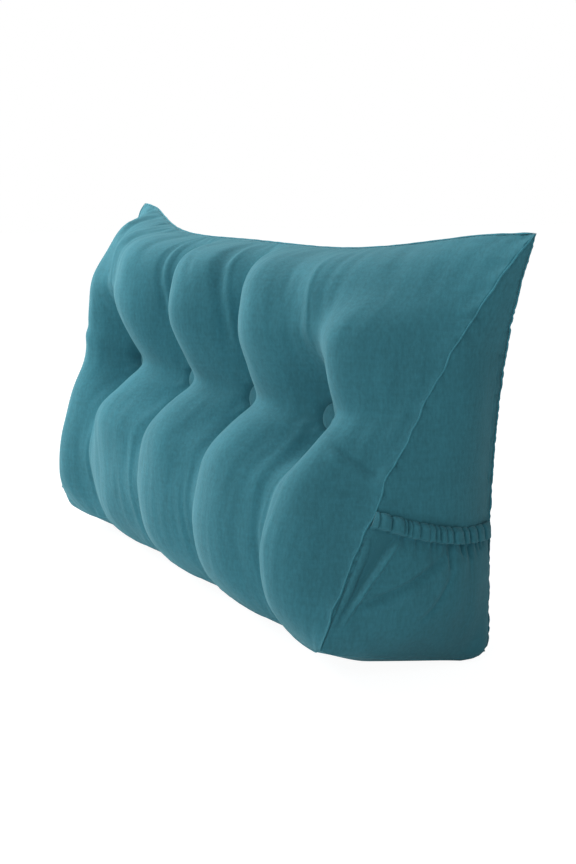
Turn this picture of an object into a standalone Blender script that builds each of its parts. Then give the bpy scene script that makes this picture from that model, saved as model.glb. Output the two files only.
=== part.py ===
"""Wedge pillow: a long triangular back cushion in pile cloth, standing on its base.

The front is tufted with a row of covered buttons that draw it in to five upright
lobes, the two top corners stick out as ears, and one end has a sewn-on pocket.
+X runs along the pillow, the tufted front faces -Y and the floor is Z = 0.
"""
import math

import bmesh
import bpy

# Outline of the filled cushion
EAR_HALF_SPAN = 0.5010         # centre to the tip of a top corner
SEAM_HALF_SPAN = 0.4145        # centre to an end panel's bottom seam
POCKET_EAR_HEIGHT = 0.4765     # tip of the ear above the pocket
PLAIN_EAR_HEIGHT = 0.4880      # tip of the ear at the plain end
TOP_SEAM_HEIGHT = 0.4500       # the top seam sags between the ears
EAR_DEPTH = 0.1019             # Y of the ear tips
TOP_SEAM_DEPTH = 0.0566        # Y of the top seam between the ears
BACK_SEAM_DEPTH = 0.1228       # Y of the bottom seam at the back
BACK_SEAM_HEIGHT = 0.0050
FRONT_CORNER_DEPTH = -0.0981   # Y and Z of the bottom front corners
FRONT_CORNER_HEIGHT = 0.0450
FRONT_SEAM_DEPTH = -0.0606     # Y and Z of the bottom front seam, tucked under the lobes
FRONT_SEAM_HEIGHT = 0.0290
FLARE_POWER = 3.3              # how late, going up, the ends run out to the ears
EAR_POWER = 7.0                # how late along the length the top corners lift
CORNER_POWER = 5.4             # and the bottom corners

# Panels between the seams
BACK_FULLNESS = 0.026
END_FULLNESS = 0.026
BACK_BOW = 0.0035              # the back seams bow out a little below the ears
CONTACT_START = 0.32           # share of the base's depth where it meets the floor
CONTACT_END = 0.92
BASE_CURVE = 1.5
END_LIFT_START = 0.55          # share of the half length where the base starts to lift
END_LIFT_POWER = 3.0           # towards its end seams, and how late it does so

# Tufting
BUTTON_PITCH = 0.1835
BUTTON_ALONG = 0.451           # share of the way from the top seam to the bottom seam
BUTTON_RADIUS = 0.0148
BUTTON_THICKNESS = 0.0105
BUTTON_DOME = 0.0035
SEAT_GAP = 0.0003
LOBE_POWER = 1.12              # roundness of a lobe's section
LIFT = 0.13                    # how far the lower bellies are lifted, share of fullness
LIFT_START = 0.30
END_LOBE = 0.910               # fullness of the two end lobes against the middle ones

# Height of a lobe's crest and of the groove beside it above the straight line
# from top seam to bottom seam, one row for each station down the front
STATIONS = (
    # share, crest, groove
    (0.000, 0.000, 0.000),
    (0.057, 0.068, 0.029),
    (0.152, 0.096, 0.042),
    (0.266, 0.094, 0.023),
    (0.380, 0.075, 0.007),
    (0.451, 0.046, 0.003),
    (0.540, 0.070, 0.010),
    (0.665, 0.089, 0.052),
    (0.791, 0.088, 0.056),
    (0.895, 0.072, 0.031),
    (0.958, 0.051, 0.020),
    (1.000, 0.004, 0.006),
)

# Fullness of each lobe against STATIONS, from the plain end to the pocket's end
LOBES = (
    # upper, waist, belly
    (0.98, 1.26, 0.90),
    (1.09, 0.99, 0.89),
    (1.11, 0.94, 1.08),
    (1.05, 1.01, 1.12),
    (1.02, 0.81, 1.03),
)
FULLNESS_STATIONS = (0.0, 0.285, 0.451, 0.687, 1.0)

# Bulge of an end panel from its bottom seam up to the ear, share of END_FULLNESS
END_STATIONS = (
    # share, bulge
    (0.00, 0.00),
    (0.08, 0.55),
    (0.20, 0.92),
    (0.34, 1.00),
    (0.55, 0.72),
    (0.75, 0.22),
    (0.90, 0.00),
    (1.00, 0.00),
)

# Bulge of the back panel from its bottom seam up to the top seam
BACK_STATIONS = (
    # share, bulge
    (0.00, 0.00),
    (0.10, 0.50),
    (0.30, 0.92),
    (0.55, 1.00),
    (0.80, 0.80),
    (0.93, 0.50),
    (1.00, 0.00),
)

# Side pocket
MOUTH_HEIGHT_FRONT = 0.188
MOUTH_HEIGHT_BACK = 0.159
MOUTH_SAG = 0.006
POCKET_INSET = 0.022           # share of the end panel's width left free at each side seam
POCKET_FOOT = 0.035            # share of the pocket's height left free above the bottom seam
POCKET_THICKNESS = 0.0022
HEM_THICKNESS = 0.0034
HEM_SHARE = 0.120              # height of the gathered hem against the pocket's height
POCKET_EDGE_GAP = 0.0007
MOUTH_FULLNESS = 0.0120        # room between panel and pocket at the mouth
BELLY_FULLNESS = 0.0180        # and half way down
GATHERS = 12
GATHER_HEIGHT = 0.0013
FOLD_HEIGHT = 0.0065           # loose fold from the hem to the bottom front corner
FOLD_TOP = 0.27                # its place across the pocket at the hem
FOLD_FOOT = 0.04               # and at the bottom
FOLD_WIDTH = 0.055

# Mesh density
LOBE_STEPS = 10
FRONT_STEPS = 21
BASE_STEPS = 8
POCKET_COLUMNS = 4 * GATHERS
POCKET_ROWS = 12
DISC_SIDES = 24

BUTTON_COUNT = len(LOBES) - 1
BUTTON_XS = [(number - (BUTTON_COUNT - 1) / 2) * BUTTON_PITCH for number in range(BUTTON_COUNT)]


def clear_scene():
    """Start from an empty scene."""
    for item in list(bpy.data.objects):
        bpy.data.objects.remove(item, do_unlink=True)


def make_material(name, colour, roughness):
    """A plain cloth finish."""
    material = bpy.data.materials.new(name)
    material.use_nodes = True
    shader = material.node_tree.nodes["Principled BSDF"]
    shader.inputs["Base Color"].default_value = (*colour, 1.0)
    shader.inputs["Roughness"].default_value = roughness
    shader.inputs["Metallic"].default_value = 0.0
    return material


def mix(start, end, share):
    """Straight mix of two numbers."""
    return start + (end - start) * share


def through(knots, values, place):
    """Smooth curve through a row of points that never overshoots them."""
    last = len(knots) - 2
    span = min(max(sum(place >= knot for knot in knots) - 1, 0), last)
    slopes = [
        (values[i + 1] - values[i]) / (knots[i + 1] - knots[i]) for i in range(last + 1)
    ]

    def tangent(i):
        if i == 0:
            return slopes[0]
        if i > last:
            return slopes[last]
        before, after = slopes[i - 1], slopes[i]
        return 0.0 if before * after <= 0.0 else 2.0 * before * after / (before + after)

    width = knots[span + 1] - knots[span]
    t = min(max((place - knots[span]) / width, 0.0), 1.0)
    start = (1.0 + 2.0 * t) * (1.0 - t) ** 2 * values[span]
    start += t * (1.0 - t) ** 2 * width * tangent(span)
    end = t * t * (3.0 - 2.0 * t) * values[span + 1]
    end += t * t * (t - 1.0) * width * tangent(span + 1)
    return start + end


def column(table, number):
    """One named column of a table."""
    return [row[number] for row in table]


def ear_height(along):
    """Height of the ear on this side of the centre."""
    return POCKET_EAR_HEIGHT if along > 0.0 else PLAIN_EAR_HEIGHT


def spread(along, height):
    """X of a place along the pillow, -1 to 1, at this height."""
    rise = (height - FRONT_CORNER_HEIGHT) / (ear_height(along) - FRONT_CORNER_HEIGHT)
    run_out = (EAR_HALF_SPAN - SEAM_HALF_SPAN) * max(rise, 0.0) ** FLARE_POWER
    return along * SEAM_HALF_SPAN + math.copysign(abs(along) ** EAR_POWER * run_out, along)


def top_seam(along):
    """Y and Z of the top seam."""
    ear = abs(along) ** EAR_POWER
    return mix(TOP_SEAM_DEPTH, EAR_DEPTH, ear), mix(TOP_SEAM_HEIGHT, ear_height(along), ear)


def front_seam(along):
    """Y and Z of the bottom seam at the front, before the lobes push on it."""
    corner = abs(along) ** CORNER_POWER
    depth = mix(FRONT_SEAM_DEPTH, FRONT_CORNER_DEPTH, corner)
    return depth, mix(FRONT_SEAM_HEIGHT, FRONT_CORNER_HEIGHT, corner)


def lobe_edges():
    """Places along the pillow, -1 to 1, where one lobe ends and the next begins."""
    return [-1.0] + [x / SEAM_HALF_SPAN for x in BUTTON_XS] + [1.0]


def relief(lobe, across, down):
    """Height of the tufted front above its straight line, across = -1 to 1 in a lobe."""
    stations = column(STATIONS, 0)
    crest = through(stations, column(STATIONS, 1), down)
    groove = through(stations, column(STATIONS, 2), down)
    upper, waist, belly = LOBES[lobe]
    crest *= through(FULLNESS_STATIONS, (upper, upper, waist, belly, belly), down)
    at_far_end = lobe == 0
    at_near_end = lobe == len(LOBES) - 1
    if at_far_end or at_near_end:
        crest *= END_LOBE
    left = 0.0 if at_far_end else groove
    right = 0.0 if at_near_end else groove
    valley = mix(left, right, (across + 1.0) / 2.0)
    swell = max(math.cos(math.pi * across / 2.0), 0.0) ** LOBE_POWER
    return valley + (crest - (left + right) / 2.0) * swell


def front_frame(along):
    """Straight line from top seam to bottom seam, its direction and its outward normal."""
    top_y, top_z = top_seam(along)
    foot_y, foot_z = front_seam(along)
    length = math.hypot(foot_y - top_y, foot_z - top_z)
    down = ((foot_y - top_y) / length, (foot_z - top_z) / length)
    return (top_y, top_z), (foot_y, foot_z), down, (down[1], -down[0])


def front_point(along, lobe, across, share):
    """A point of the tufted front."""
    top, foot, down, out = front_frame(along)
    height = mix(top[1], foot[1], share)
    swell = relief(lobe, across, share)
    reach = min(max((share - LIFT_START) / (1.0 - LIFT_START), 0.0), 1.0)
    lift = -LIFT * swell * math.sin(math.pi * reach)
    y = mix(top[0], foot[0], share) + out[0] * swell + down[0] * lift
    z = height + out[1] * swell + down[1] * lift
    return spread(along, height), y, max(z, 0.0)


def base_point(seam, along, share):
    """A point of the base panel, from the front seam (share 0) to the back seam."""
    y = mix(seam[1], BACK_SEAM_DEPTH, share)
    x = mix(seam[0], along * SEAM_HALF_SPAN, share)
    if share < CONTACT_START:
        z = seam[2] * (1.0 - share / CONTACT_START) ** BASE_CURVE
    elif share > CONTACT_END:
        z = BACK_SEAM_HEIGHT * ((share - CONTACT_END) / (1.0 - CONTACT_END)) ** BASE_CURVE
    else:
        z = 0.0
    end_seam = mix(seam[2], BACK_SEAM_HEIGHT, share)
    reach = max(abs(along) - END_LIFT_START, 0.0) / (1.0 - END_LIFT_START)
    return x, y, mix(z, end_seam, reach**END_LIFT_POWER)


def back_point(along, share):
    """A point of the back panel, from its bottom seam (share 0) to the top seam."""
    top_y, top_z = top_seam(along)
    height = mix(BACK_SEAM_HEIGHT, top_z, share)
    room = 1.0 - abs(along) ** 4
    bulge = through(column(BACK_STATIONS, 0), column(BACK_STATIONS, 1), share)
    bow = BACK_BOW * math.sin(math.pi * share**1.8)
    y = mix(BACK_SEAM_DEPTH, top_y, share) + bow + BACK_FULLNESS * room * bulge
    return spread(along, height), y, height


def end_point(side, across, share):
    """A point of an end panel: across from front to back seam, share from base to ear."""
    corner_y, corner_z = front_seam(side)
    corner = (side * SEAM_HALF_SPAN, corner_y, corner_z)
    _, foot_y, foot_z = base_point(corner, side, across)
    y = mix(foot_y, EAR_DEPTH, share)
    z = mix(foot_z, ear_height(side), share)
    bulge = through(column(END_STATIONS, 0), column(END_STATIONS, 1), share)
    bulge *= END_FULLNESS * math.sin(math.pi * across) ** 0.85
    return side * (abs(spread(side, z)) + bulge), y, z


def skin(bm, grid):
    """Faces between neighbouring rows of a grid of points, which may share points."""
    for row, following in zip(grid, grid[1:]):
        for i in range(len(row) - 1):
            corners = [row[i], row[i + 1], following[i + 1], following[i]]
            unique = list(dict.fromkeys(corners))
            if len(unique) > 2:
                bm.faces.new(unique)


def finish_mesh(name, bm, material, crease_degrees=35.0):
    """Turn a closed bmesh into a named object with outward faces."""
    bmesh.ops.recalc_face_normals(bm, faces=bm.faces)
    bmesh.ops.triangulate(bm, faces=bm.faces)
    mesh = bpy.data.meshes.new(name)
    bm.to_mesh(mesh)
    bm.free()
    mesh.shade_smooth()
    mesh.set_sharp_from_angle(angle=math.radians(crease_degrees))
    mesh.materials.append(material)
    item = bpy.data.objects.new(name, mesh)
    bpy.context.scene.collection.objects.link(item)
    return item


def cushion_sections(bm):
    """One closed ring of points for each station along the pillow: front, base, back."""
    edges = lobe_edges()
    places = []
    for lobe in range(len(LOBES)):
        for step in range(LOBE_STEPS):
            across = 2.0 * step / LOBE_STEPS - 1.0
            places.append((mix(edges[lobe], edges[lobe + 1], (across + 1.0) / 2.0), lobe, across))
    places.append((1.0, len(LOBES) - 1, 1.0))

    fronts, bases, backs = [], [], []
    for along, lobe, across in places:
        front = [
            bm.verts.new(front_point(along, lobe, across, step / FRONT_STEPS))
            for step in range(FRONT_STEPS + 1)
        ]
        seam = front[-1].co[:]
        base = [
            bm.verts.new(base_point(seam, along, step / BASE_STEPS))
            for step in range(1, BASE_STEPS + 1)
        ]
        back = [
            bm.verts.new(back_point(along, step / FRONT_STEPS)) for step in range(1, FRONT_STEPS)
        ]
        fronts.append(front)
        bases.append([front[-1]] + base)
        backs.append([base[-1]] + back + [front[0]])
    return fronts, bases, backs


def end_rows(bm, side, front, base, back):
    """Rows of an end panel, from the base up to the ear, tied to the three seams."""
    rows = [base]
    for step in range(1, FRONT_STEPS):
        share = step / FRONT_STEPS
        inner = [
            bm.verts.new(end_point(side, place / BASE_STEPS, share))
            for place in range(1, BASE_STEPS)
        ]
        rows.append([front[FRONT_STEPS - step]] + inner + [back[step]])
    rows.append([front[0]] * (BASE_STEPS + 1))
    return rows


def build_cushion(material):
    """The filled cushion, one closed solid, with a seat cut for each button."""
    bm = bmesh.new()
    fronts, bases, backs = cushion_sections(bm)
    skin(bm, fronts)
    skin(bm, bases)
    skin(bm, backs)
    skin(bm, end_rows(bm, -1.0, fronts[0], bases[0], backs[0]))
    skin(bm, end_rows(bm, 1.0, fronts[-1], bases[-1], backs[-1]))
    cushion = finish_mesh("wedge_cushion", bm, material)
    for number, x in enumerate(BUTTON_XS, start=1):
        cut = cushion.modifiers.new(f"seat_{number}", "BOOLEAN")
        cut.operation = "DIFFERENCE"
        cut.solver = "EXACT"
        cut.object = build_seat_cutter(number, x)
    return cushion


def button_frame(x):
    """Floor of the dimple under a button, and the way the button faces."""
    along = x / SEAM_HALF_SPAN
    lobe = next(i for i, edge in enumerate(lobe_edges()[1:]) if abs(edge - along) < 1e-6)
    floor = front_point(along, lobe, 1.0, BUTTON_ALONG)
    out = front_frame(along)[3]
    return (x, floor[1], floor[2]), out


def turned_solid(bm, profile, x, floor, out):
    """Solid of revolution about the button's axis from radius and height pairs."""
    rings = []
    for radius, height in profile:
        ring = []
        for side in range(DISC_SIDES):
            turn = 2.0 * math.pi * side / DISC_SIDES
            up = radius * math.sin(turn)
            y = floor[1] + out[0] * height - out[1] * up
            z = floor[2] + out[1] * height + out[0] * up
            ring.append(bm.verts.new((x + radius * math.cos(turn), y, z)))
        rings.append(ring + [ring[0]])
    skin(bm, rings)
    bm.faces.new(rings[0][:-1])
    bm.faces.new(rings[-1][:-1])


def build_seat_cutter(number, x):
    """A round well, a little wider and deeper than the button that sits in it."""
    floor, out = button_frame(x)
    radius = BUTTON_RADIUS + SEAT_GAP
    profile = ((radius, -SEAT_GAP), (radius, BUTTON_THICKNESS + 0.010))
    bm = bmesh.new()
    turned_solid(bm, profile, x, floor, out)
    bmesh.ops.recalc_face_normals(bm, faces=bm.faces)
    mesh = bpy.data.meshes.new(f"seat_cutter_{number}")
    bm.to_mesh(mesh)
    bm.free()
    cutter = bpy.data.objects.new(f"seat_cutter_{number}", mesh)
    cutter.display_type = "WIRE"
    cutter.hide_render = True
    bpy.context.scene.collection.objects.link(cutter)
    return cutter


def build_button(number, x, material):
    """A covered button: flat back, short side and a low dome."""
    floor, out = button_frame(x)
    side = BUTTON_THICKNESS - BUTTON_DOME
    profile = [(BUTTON_RADIUS - 0.0012, 0.0), (BUTTON_RADIUS, 0.0015), (BUTTON_RADIUS, side)]
    for step in range(1, 5):
        angle = math.radians(90.0 * step / 5)
        profile.append((BUTTON_RADIUS * math.cos(angle), side + BUTTON_DOME * math.sin(angle)))
    bm = bmesh.new()
    turned_solid(bm, profile, x, floor, out)
    return finish_mesh(f"button_{number}", bm, material, crease_degrees=60.0)


def pocket_place(across, up):
    """Across and share on the end panel under a place of the pocket, both 0 to 1."""
    panel_across = mix(POCKET_INSET, 1.0 - POCKET_INSET, across)
    mouth = mix(MOUTH_HEIGHT_FRONT, MOUTH_HEIGHT_BACK, panel_across)
    mouth -= MOUTH_SAG * math.sin(math.pi * panel_across)
    foot = end_point(1.0, panel_across, 0.0)[2]
    top_share = (mouth - foot) / (POCKET_EAR_HEIGHT - foot)
    return panel_across, mix(POCKET_FOOT, 1.0, up) * top_share


def pocket_room(across, up):
    """Room between the end panel and the pocket's inner face."""
    side = math.sin(math.pi * across) ** 0.7
    if up < 0.5:
        room = BELLY_FULLNESS * math.sin(math.pi * up) ** 0.8
    else:
        room = mix(MOUTH_FULLNESS, BELLY_FULLNESS, math.sin(math.pi * up))
    crest = mix(FOLD_FOOT, FOLD_TOP, up)
    fold = FOLD_HEIGHT * math.exp(-((across - crest) / FOLD_WIDTH) ** 2)
    fold *= math.sin(math.pi * min(up / (1.0 - HEM_SHARE), 1.0)) ** 0.6
    return POCKET_EDGE_GAP + room * side + fold


def hem_swell(up):
    """0 on the flat cloth, 1 in the gathered hem at the mouth."""
    rise = (up - (1.0 - HEM_SHARE)) / 0.03
    return min(max(rise, 0.0), 1.0)


def build_pocket(material):
    """The side pocket: one sheet, open upwards, its mouth gathered in a hem."""
    bm = bmesh.new()
    hem_foot = 1.0 - HEM_SHARE
    body_rows = [hem_foot * i / (POCKET_ROWS - 3) for i in range(POCKET_ROWS - 2)]
    rows = body_rows + [hem_foot + 0.03, hem_foot + 0.075, 1.0]
    inner, outer = [], []
    for up in rows:
        inner_row, outer_row = [], []
        for step in range(POCKET_COLUMNS + 1):
            across = step / POCKET_COLUMNS
            panel_across, share = pocket_place(across, up)
            x, y, z = end_point(1.0, panel_across, share)
            hem = hem_swell(up)
            gather = GATHER_HEIGHT * hem * (1.0 - math.cos(2.0 * math.pi * GATHERS * across))
            inside = x + pocket_room(across, up)
            outside = inside + mix(POCKET_THICKNESS, HEM_THICKNESS, hem) + gather
            inner_row.append(bm.verts.new((inside, y, z)))
            outer_row.append(bm.verts.new((outside, y, z)))
        inner.append(inner_row)
        outer.append(outer_row)
    skin(bm, inner)
    skin(bm, outer)
    skin(bm, [inner[0], outer[0]])
    skin(bm, [inner[-1], outer[-1]])
    skin(bm, [[row[0] for row in inner], [row[0] for row in outer]])
    skin(bm, [[row[-1] for row in inner], [row[-1] for row in outer]])
    return finish_mesh("side_pocket", bm, material)


def build():
    """Make every piece under one empty."""
    clear_scene()
    cloth = make_material("teal_pile_cloth", (0.060, 0.225, 0.265), 0.9)
    button_cloth = make_material("teal_button_cover", (0.055, 0.205, 0.240), 0.85)
    root = bpy.data.objects.new("wedge_pillow", None)
    bpy.context.scene.collection.objects.link(root)
    pieces = [build_cushion(cloth), build_pocket(cloth)]
    for number, x in enumerate(BUTTON_XS, start=1):
        pieces.append(build_button(number, x, button_cloth))
    for piece in pieces:
        piece.parent = root


build()
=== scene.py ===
"""Looks of the wedge pillow: a tufted triangular back cushion in short teal pile cloth.

The cushion, its seams, its covered buttons and its gathered side pocket are surfaces worked
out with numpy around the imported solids. +X runs along the pillow, the tufted front faces -Y
and the floor is Z = 0. Every size is in metres.
"""

import math

import bmesh
import bpy
import numpy as np
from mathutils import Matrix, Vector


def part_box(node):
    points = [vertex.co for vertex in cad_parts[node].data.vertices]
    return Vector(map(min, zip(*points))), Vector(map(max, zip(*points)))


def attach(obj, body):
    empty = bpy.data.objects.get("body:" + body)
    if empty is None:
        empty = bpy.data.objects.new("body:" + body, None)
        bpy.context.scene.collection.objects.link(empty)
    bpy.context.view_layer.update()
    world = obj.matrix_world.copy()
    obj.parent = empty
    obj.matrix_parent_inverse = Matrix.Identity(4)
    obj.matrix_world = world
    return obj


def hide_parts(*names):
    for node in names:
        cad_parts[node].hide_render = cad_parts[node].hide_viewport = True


bl_info = {
    "name": "Wedge Pillow",
    "version": (1, 0, 0),
    "blender": (4, 5, 0),
    "location": "3D View > Sidebar > Wedge Pillow",
    "description": "Makes a tufted wedge pillow with seams, covered buttons and a gathered pocket",
    "category": "Object",
}

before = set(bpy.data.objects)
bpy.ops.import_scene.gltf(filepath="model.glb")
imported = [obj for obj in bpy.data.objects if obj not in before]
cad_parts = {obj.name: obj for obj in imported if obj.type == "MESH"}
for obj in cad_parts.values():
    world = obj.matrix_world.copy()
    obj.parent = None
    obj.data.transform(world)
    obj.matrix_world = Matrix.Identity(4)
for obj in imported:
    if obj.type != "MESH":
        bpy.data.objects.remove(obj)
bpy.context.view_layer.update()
CUSHION_LOW, CUSHION_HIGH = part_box("wedge_cushion")
BUTTONS = sorted(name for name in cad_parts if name.startswith("button_"))
BUTTON_XS = np.array([(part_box(name)[0][0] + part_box(name)[1][0]) / 2.0 for name in BUTTONS])
BUTTON_RADIUS = (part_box(BUTTONS[0])[1][0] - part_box(BUTTONS[0])[0][0]) / 2.0

# Outline of the filled cushion, close to its solid
EAR_HALF_SPAN = CUSHION_HIGH[0]
FAR_EAR_RISE = 0.011           # the stuffed far ear stands above its solid
PLAIN_EAR_HEIGHT = CUSHION_HIGH[2] + FAR_EAR_RISE
POCKET_EAR_HEIGHT = 0.4790
SEAM_HALF_SPAN = 0.4145
TOP_SEAM_HEIGHT = 0.4500
FAR_SEAM_RISE = 0.0035         # the top seam stands a little higher towards the plain end
EAR_DEPTH = 0.1019
TOP_SEAM_DEPTH = 0.0566
BACK_SEAM_DEPTH = 0.1228
BACK_SEAM_HEIGHT = 0.0050
FRONT_CORNER_DEPTH = -0.0981
FRONT_CORNER_HEIGHT = 0.0450
FRONT_SEAM_DEPTH = -0.0606
FRONT_SEAM_HEIGHT = 0.0290
FLARE_POWER = 3.3              # how high up the ends run out to the ears
PLAIN_EAR_POWER = 4.0          # how late along the length the far top corner lifts
POCKET_EAR_POWER = 6.5         # and the one over the pocket
EAR_EASE = 1.5                 # how soon the lift is over
RUN_OUT_POWER = 6.0            # how late the ends run out to the ears
CORNER_POWER = 5.4             # and the bottom corners
BACK_FULLNESS = 0.026
END_FULLNESS = 0.026
BACK_BOW = 0.0068
CONTACT_START = 0.32           # share of the base's depth where it meets the floor
CONTACT_END = 0.92
BASE_CURVE = 1.5
END_LIFT_FRONT = 0.56          # share of the half length where the base starts to lift,
END_LIFT_BACK = 1.04           # at its front and at its back
END_LIFT_POWER = 2.0
END_LIFT_MOST = 0.97           # the lift starts at this share of the half length at the latest
BACK_BOW_POWER = 1.8
END_ROUNDNESS = 0.85
END_SEAM_SAG = 1.5             # how soon an end panel's bottom seam comes down to the floor
SEAM_TUCK = 0.003              # the bottom seam is pulled in at each groove
SEAM_SAG = 0.006               # and sags under each belly

# Tufting
BUTTON_ALONG = 0.451           # share of the way from the top seam to the bottom seam
LOBE_POWER = 1.12
LIFT = 0.13                    # how far the lower bellies are lifted, share of fullness
LIFT_START = 0.30
END_LOBE = 0.910               # fullness of the two end lobes against the middle ones
GROOVE_DRIFT = -0.046          # near the top the grooves run off towards the plain end
DRIFT_END = 0.30
FRONT_LENGTH = 0.50            # from the top seam to the bottom seam, for folds
WELL_FLOOR = -0.0010           # cloth under a button keeps this far below its back
WELL_SHOULDER = 0.006          # and rises beside it over this distance
WELL_REACH = 0.12              # no cloth further from a button is pressed
WELL_EDGE = 0.92               # shares of a button's radius where the cloth starts to rise
TUCK_EDGE = 0.95               # and where the tucks start
TUCK_WANDER = 2.5
TUCKS = 9                      # folds that run out from a button
TUCK_START = 0.004             # how far from its edge they are highest
TUCK_REACH = 0.017
TUCK_HEIGHT = 0.0013
RECESS_PAINTED_SHADE = 0.0090         # painted shade beside a button: how strongly it darkens the pile, and its reach
RECESS_SHADE_REACH = 0.036

# Height of a lobe's crest and groove above the straight line from the top seam to the bottom
STATIONS = (
    # share, crest, groove
    (0.000, 0.000, 0.000),
    (0.057, 0.068, 0.029),
    (0.152, 0.096, 0.042),
    (0.266, 0.094, 0.023),
    (0.380, 0.075, 0.007),
    (0.451, 0.046, 0.003),
    (0.540, 0.070, 0.010),
    (0.665, 0.089, 0.052),
    (0.791, 0.088, 0.056),
    (0.895, 0.072, 0.031),
    (0.958, 0.051, 0.020),
    (1.000, 0.004, 0.006),
)
# Fullness of each lobe against the crest's height, from the plain end to the pocket's end
LOBES = (
    # top, upper, shoulder, waist, hip, belly, foot
    (0.91, 1.14, 1.32, 1.96, 1.13, 1.00, 0.96),
    (1.09, 1.09, 1.04, 0.94, 0.95, 1.07, 0.84),
    (1.11, 1.16, 0.97, 0.99, 1.07, 1.11, 1.00),
    (1.05, 1.09, 0.91, 1.00, 1.12, 1.12, 1.08),
    (0.50, 0.88, 0.94, 0.93, 0.92, 0.94, 1.00),
)
FULLNESS_STATIONS = (0.0, 0.130, 0.260, 0.385, 0.455, 0.530, 0.650, 0.820, 1.0)

BEND = 0.034                   # how far bends are rounded along the front, share,
TIGHT_BEND = 0.010             # and at the buttons
TIGHT_REACH = 0.060

# Half width of each groove's rounded floor, and the share of its depth that is filled
GROOVES = (
    # width above, at and below the button, filled above and below it
    (0.044, 0.002, 0.008, 1.00, 0.24),
    (0.002, 0.002, 0.008, 0.00, 0.24),
    (0.002, 0.002, 0.009, 0.05, 0.24),
    (0.040, 0.003, 0.010, 0.62, 0.24),
)
GROOVE_STATIONS = (0.10, 0.42, 0.75)
END_FLOOR = (0.002, 0.002, 0.002)   # half width of the floor beside the two end seams
FILL_STATIONS = (0.0, 0.24, 0.41, 0.52, 0.70, 0.84, 1.0)
FILL_AT_SEAM = 0.10

# Bulge of an end panel from its bottom seam up to the ear
END_STATIONS = (
    # share, bulge
    (0.00, 0.00),
    (0.08, 0.55),
    (0.20, 0.92),
    (0.34, 1.00),
    (0.55, 0.72),
    (0.75, 0.22),
    (0.90, 0.00),
    (1.00, 0.00),
)
# Bulge of the back panel from its bottom seam up to the top seam
BACK_STATIONS = (
    # share, bulge
    (0.00, 0.00),
    (0.10, 0.50),
    (0.30, 0.92),
    (0.55, 1.00),
    (0.80, 0.80),
    (0.93, 0.50),
    (1.00, 0.00),
)

# Folds of the front: both ends, bow to one side, half width and height, negative in a crease
FRONT_FOLDS = (
    # x, down, x, down, bow, width, height
    (-0.390, 0.000, -0.335, 0.060, 0.004, 0.0050, -0.0045),
    (-0.372, 0.000, -0.322, 0.075, 0.004, 0.0060, 0.0030),
    (-0.335, 0.000, -0.305, 0.110, 0.005, 0.0060, -0.0032),
    (-0.250, 0.010, -0.262, 0.120, 0.000, 0.0060, -0.0020),
    (-0.172, 0.000, -0.158, 0.150, 0.003, 0.0045, -0.0018),
    (-0.132, 0.010, -0.122, 0.330, 0.004, 0.0028, -0.0035),
    (-0.125, 0.010, -0.115, 0.330, 0.004, 0.0028, 0.0022),
    (-0.020, 0.010, 0.026, 0.190, -0.006, 0.0026, -0.0020),
    (0.040, 0.000, 0.059, 0.200, -0.003, 0.0080, -0.0045),
    (0.052, 0.000, 0.062, 0.330, -0.003, 0.0026, -0.0030),
    (0.058, 0.020, 0.070, 0.330, -0.002, 0.0030, 0.0024),
    (0.225, 0.010, 0.241, 0.160, -0.003, 0.0028, -0.0014),
    (0.345, 0.010, 0.352, 0.110, 0.000, 0.0070, -0.0018),
    (-0.219, 0.520, -0.213, 0.980, 0.002, 0.0100, 0.0020),
    (-0.112, 0.500, -0.106, 0.980, 0.002, 0.0095, 0.0020),
    (0.066, 0.500, 0.075, 0.980, -0.002, 0.0100, 0.0022),
    (0.248, 0.500, 0.258, 0.980, -0.002, 0.0100, 0.0022),
    (-0.284, 0.700, -0.286, 0.960, 0.000, 0.0040, 0.0012),
    (-0.278, 0.740, -0.277, 0.960, 0.000, 0.0030, -0.0009),
    (-0.106, 0.700, -0.104, 0.960, 0.000, 0.0035, -0.0014),
    (-0.121, 0.680, -0.116, 0.960, 0.000, 0.0060, -0.0014),
    (0.071, 0.680, 0.076, 0.960, 0.000, 0.0035, -0.0016),
    (-0.055, 0.740, -0.050, 0.990, 0.000, 0.0060, -0.0012),
    (0.366, 0.545, 0.412, 0.598, 0.003, 0.0028, -0.0026),
    (0.364, 0.562, 0.410, 0.618, 0.003, 0.0050, 0.0018),
    (0.372, 0.640, 0.412, 0.655, 0.000, 0.0050, -0.0010),
    (0.375, 0.410, 0.412, 0.395, 0.002, 0.0060, -0.0010),
)

# Uneven swell of the filling: wavelengths across and down, and the fine swell's share
SWELL_WAVES = (0.060, 0.150)
FINE_SWELL_WAVES = (0.018, 0.090)
FINE_SWELL = 0.4
PANEL_WAVES = (0.090, 0.110)
PANEL_SWELL = 1.2

# Puckers beside a seam
PUCKER_SPACING = 0.013
PUCKER_LENGTH = 0.050
PUCKER_PATCH = 0.070           # stretches of seam with strong and with weak puckers
PUCKER_START = 0.004
TOP_PUCKER = 1.5               # puckers of the top seam against the other seams
SEAM_CREASE = 0.0009           # depth of the crease along a plain panel's seams
CREASE_REACH = 0.0035

# Filling of the far ear
EAR_MIDDLE = (-0.490, 0.082, 0.476)
EAR_OUT = (-0.45, -0.88, 0.0)  # the way the stuffing pushes
EAR_REACH = 0.032
EAR_STUFFING = 0.012

# The end seams wander a little
SEAM_WANDER = 0.0021
WANDER_WAVE = 0.036
WANDER_REACH = 0.010
WANDER_FADE = 0.030            # distance from a corner over which it starts

# Rounding of the corners: shares of the pull in X, Y and Z, the pull and its reach
FRONT_CORNER = (0.0, 0.5, 0.5, 0.0045, 0.0090)
FAR_FRONT_CORNER = (0.4, 0.35, 0.8, 0.0175, 0.0200)
BACK_CORNER = (0.0, -0.7, 0.7, 0.0072, 0.0098)
EAR_CORNER = (0.0, -0.15, -0.6, 0.0045, 0.0090)

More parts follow.
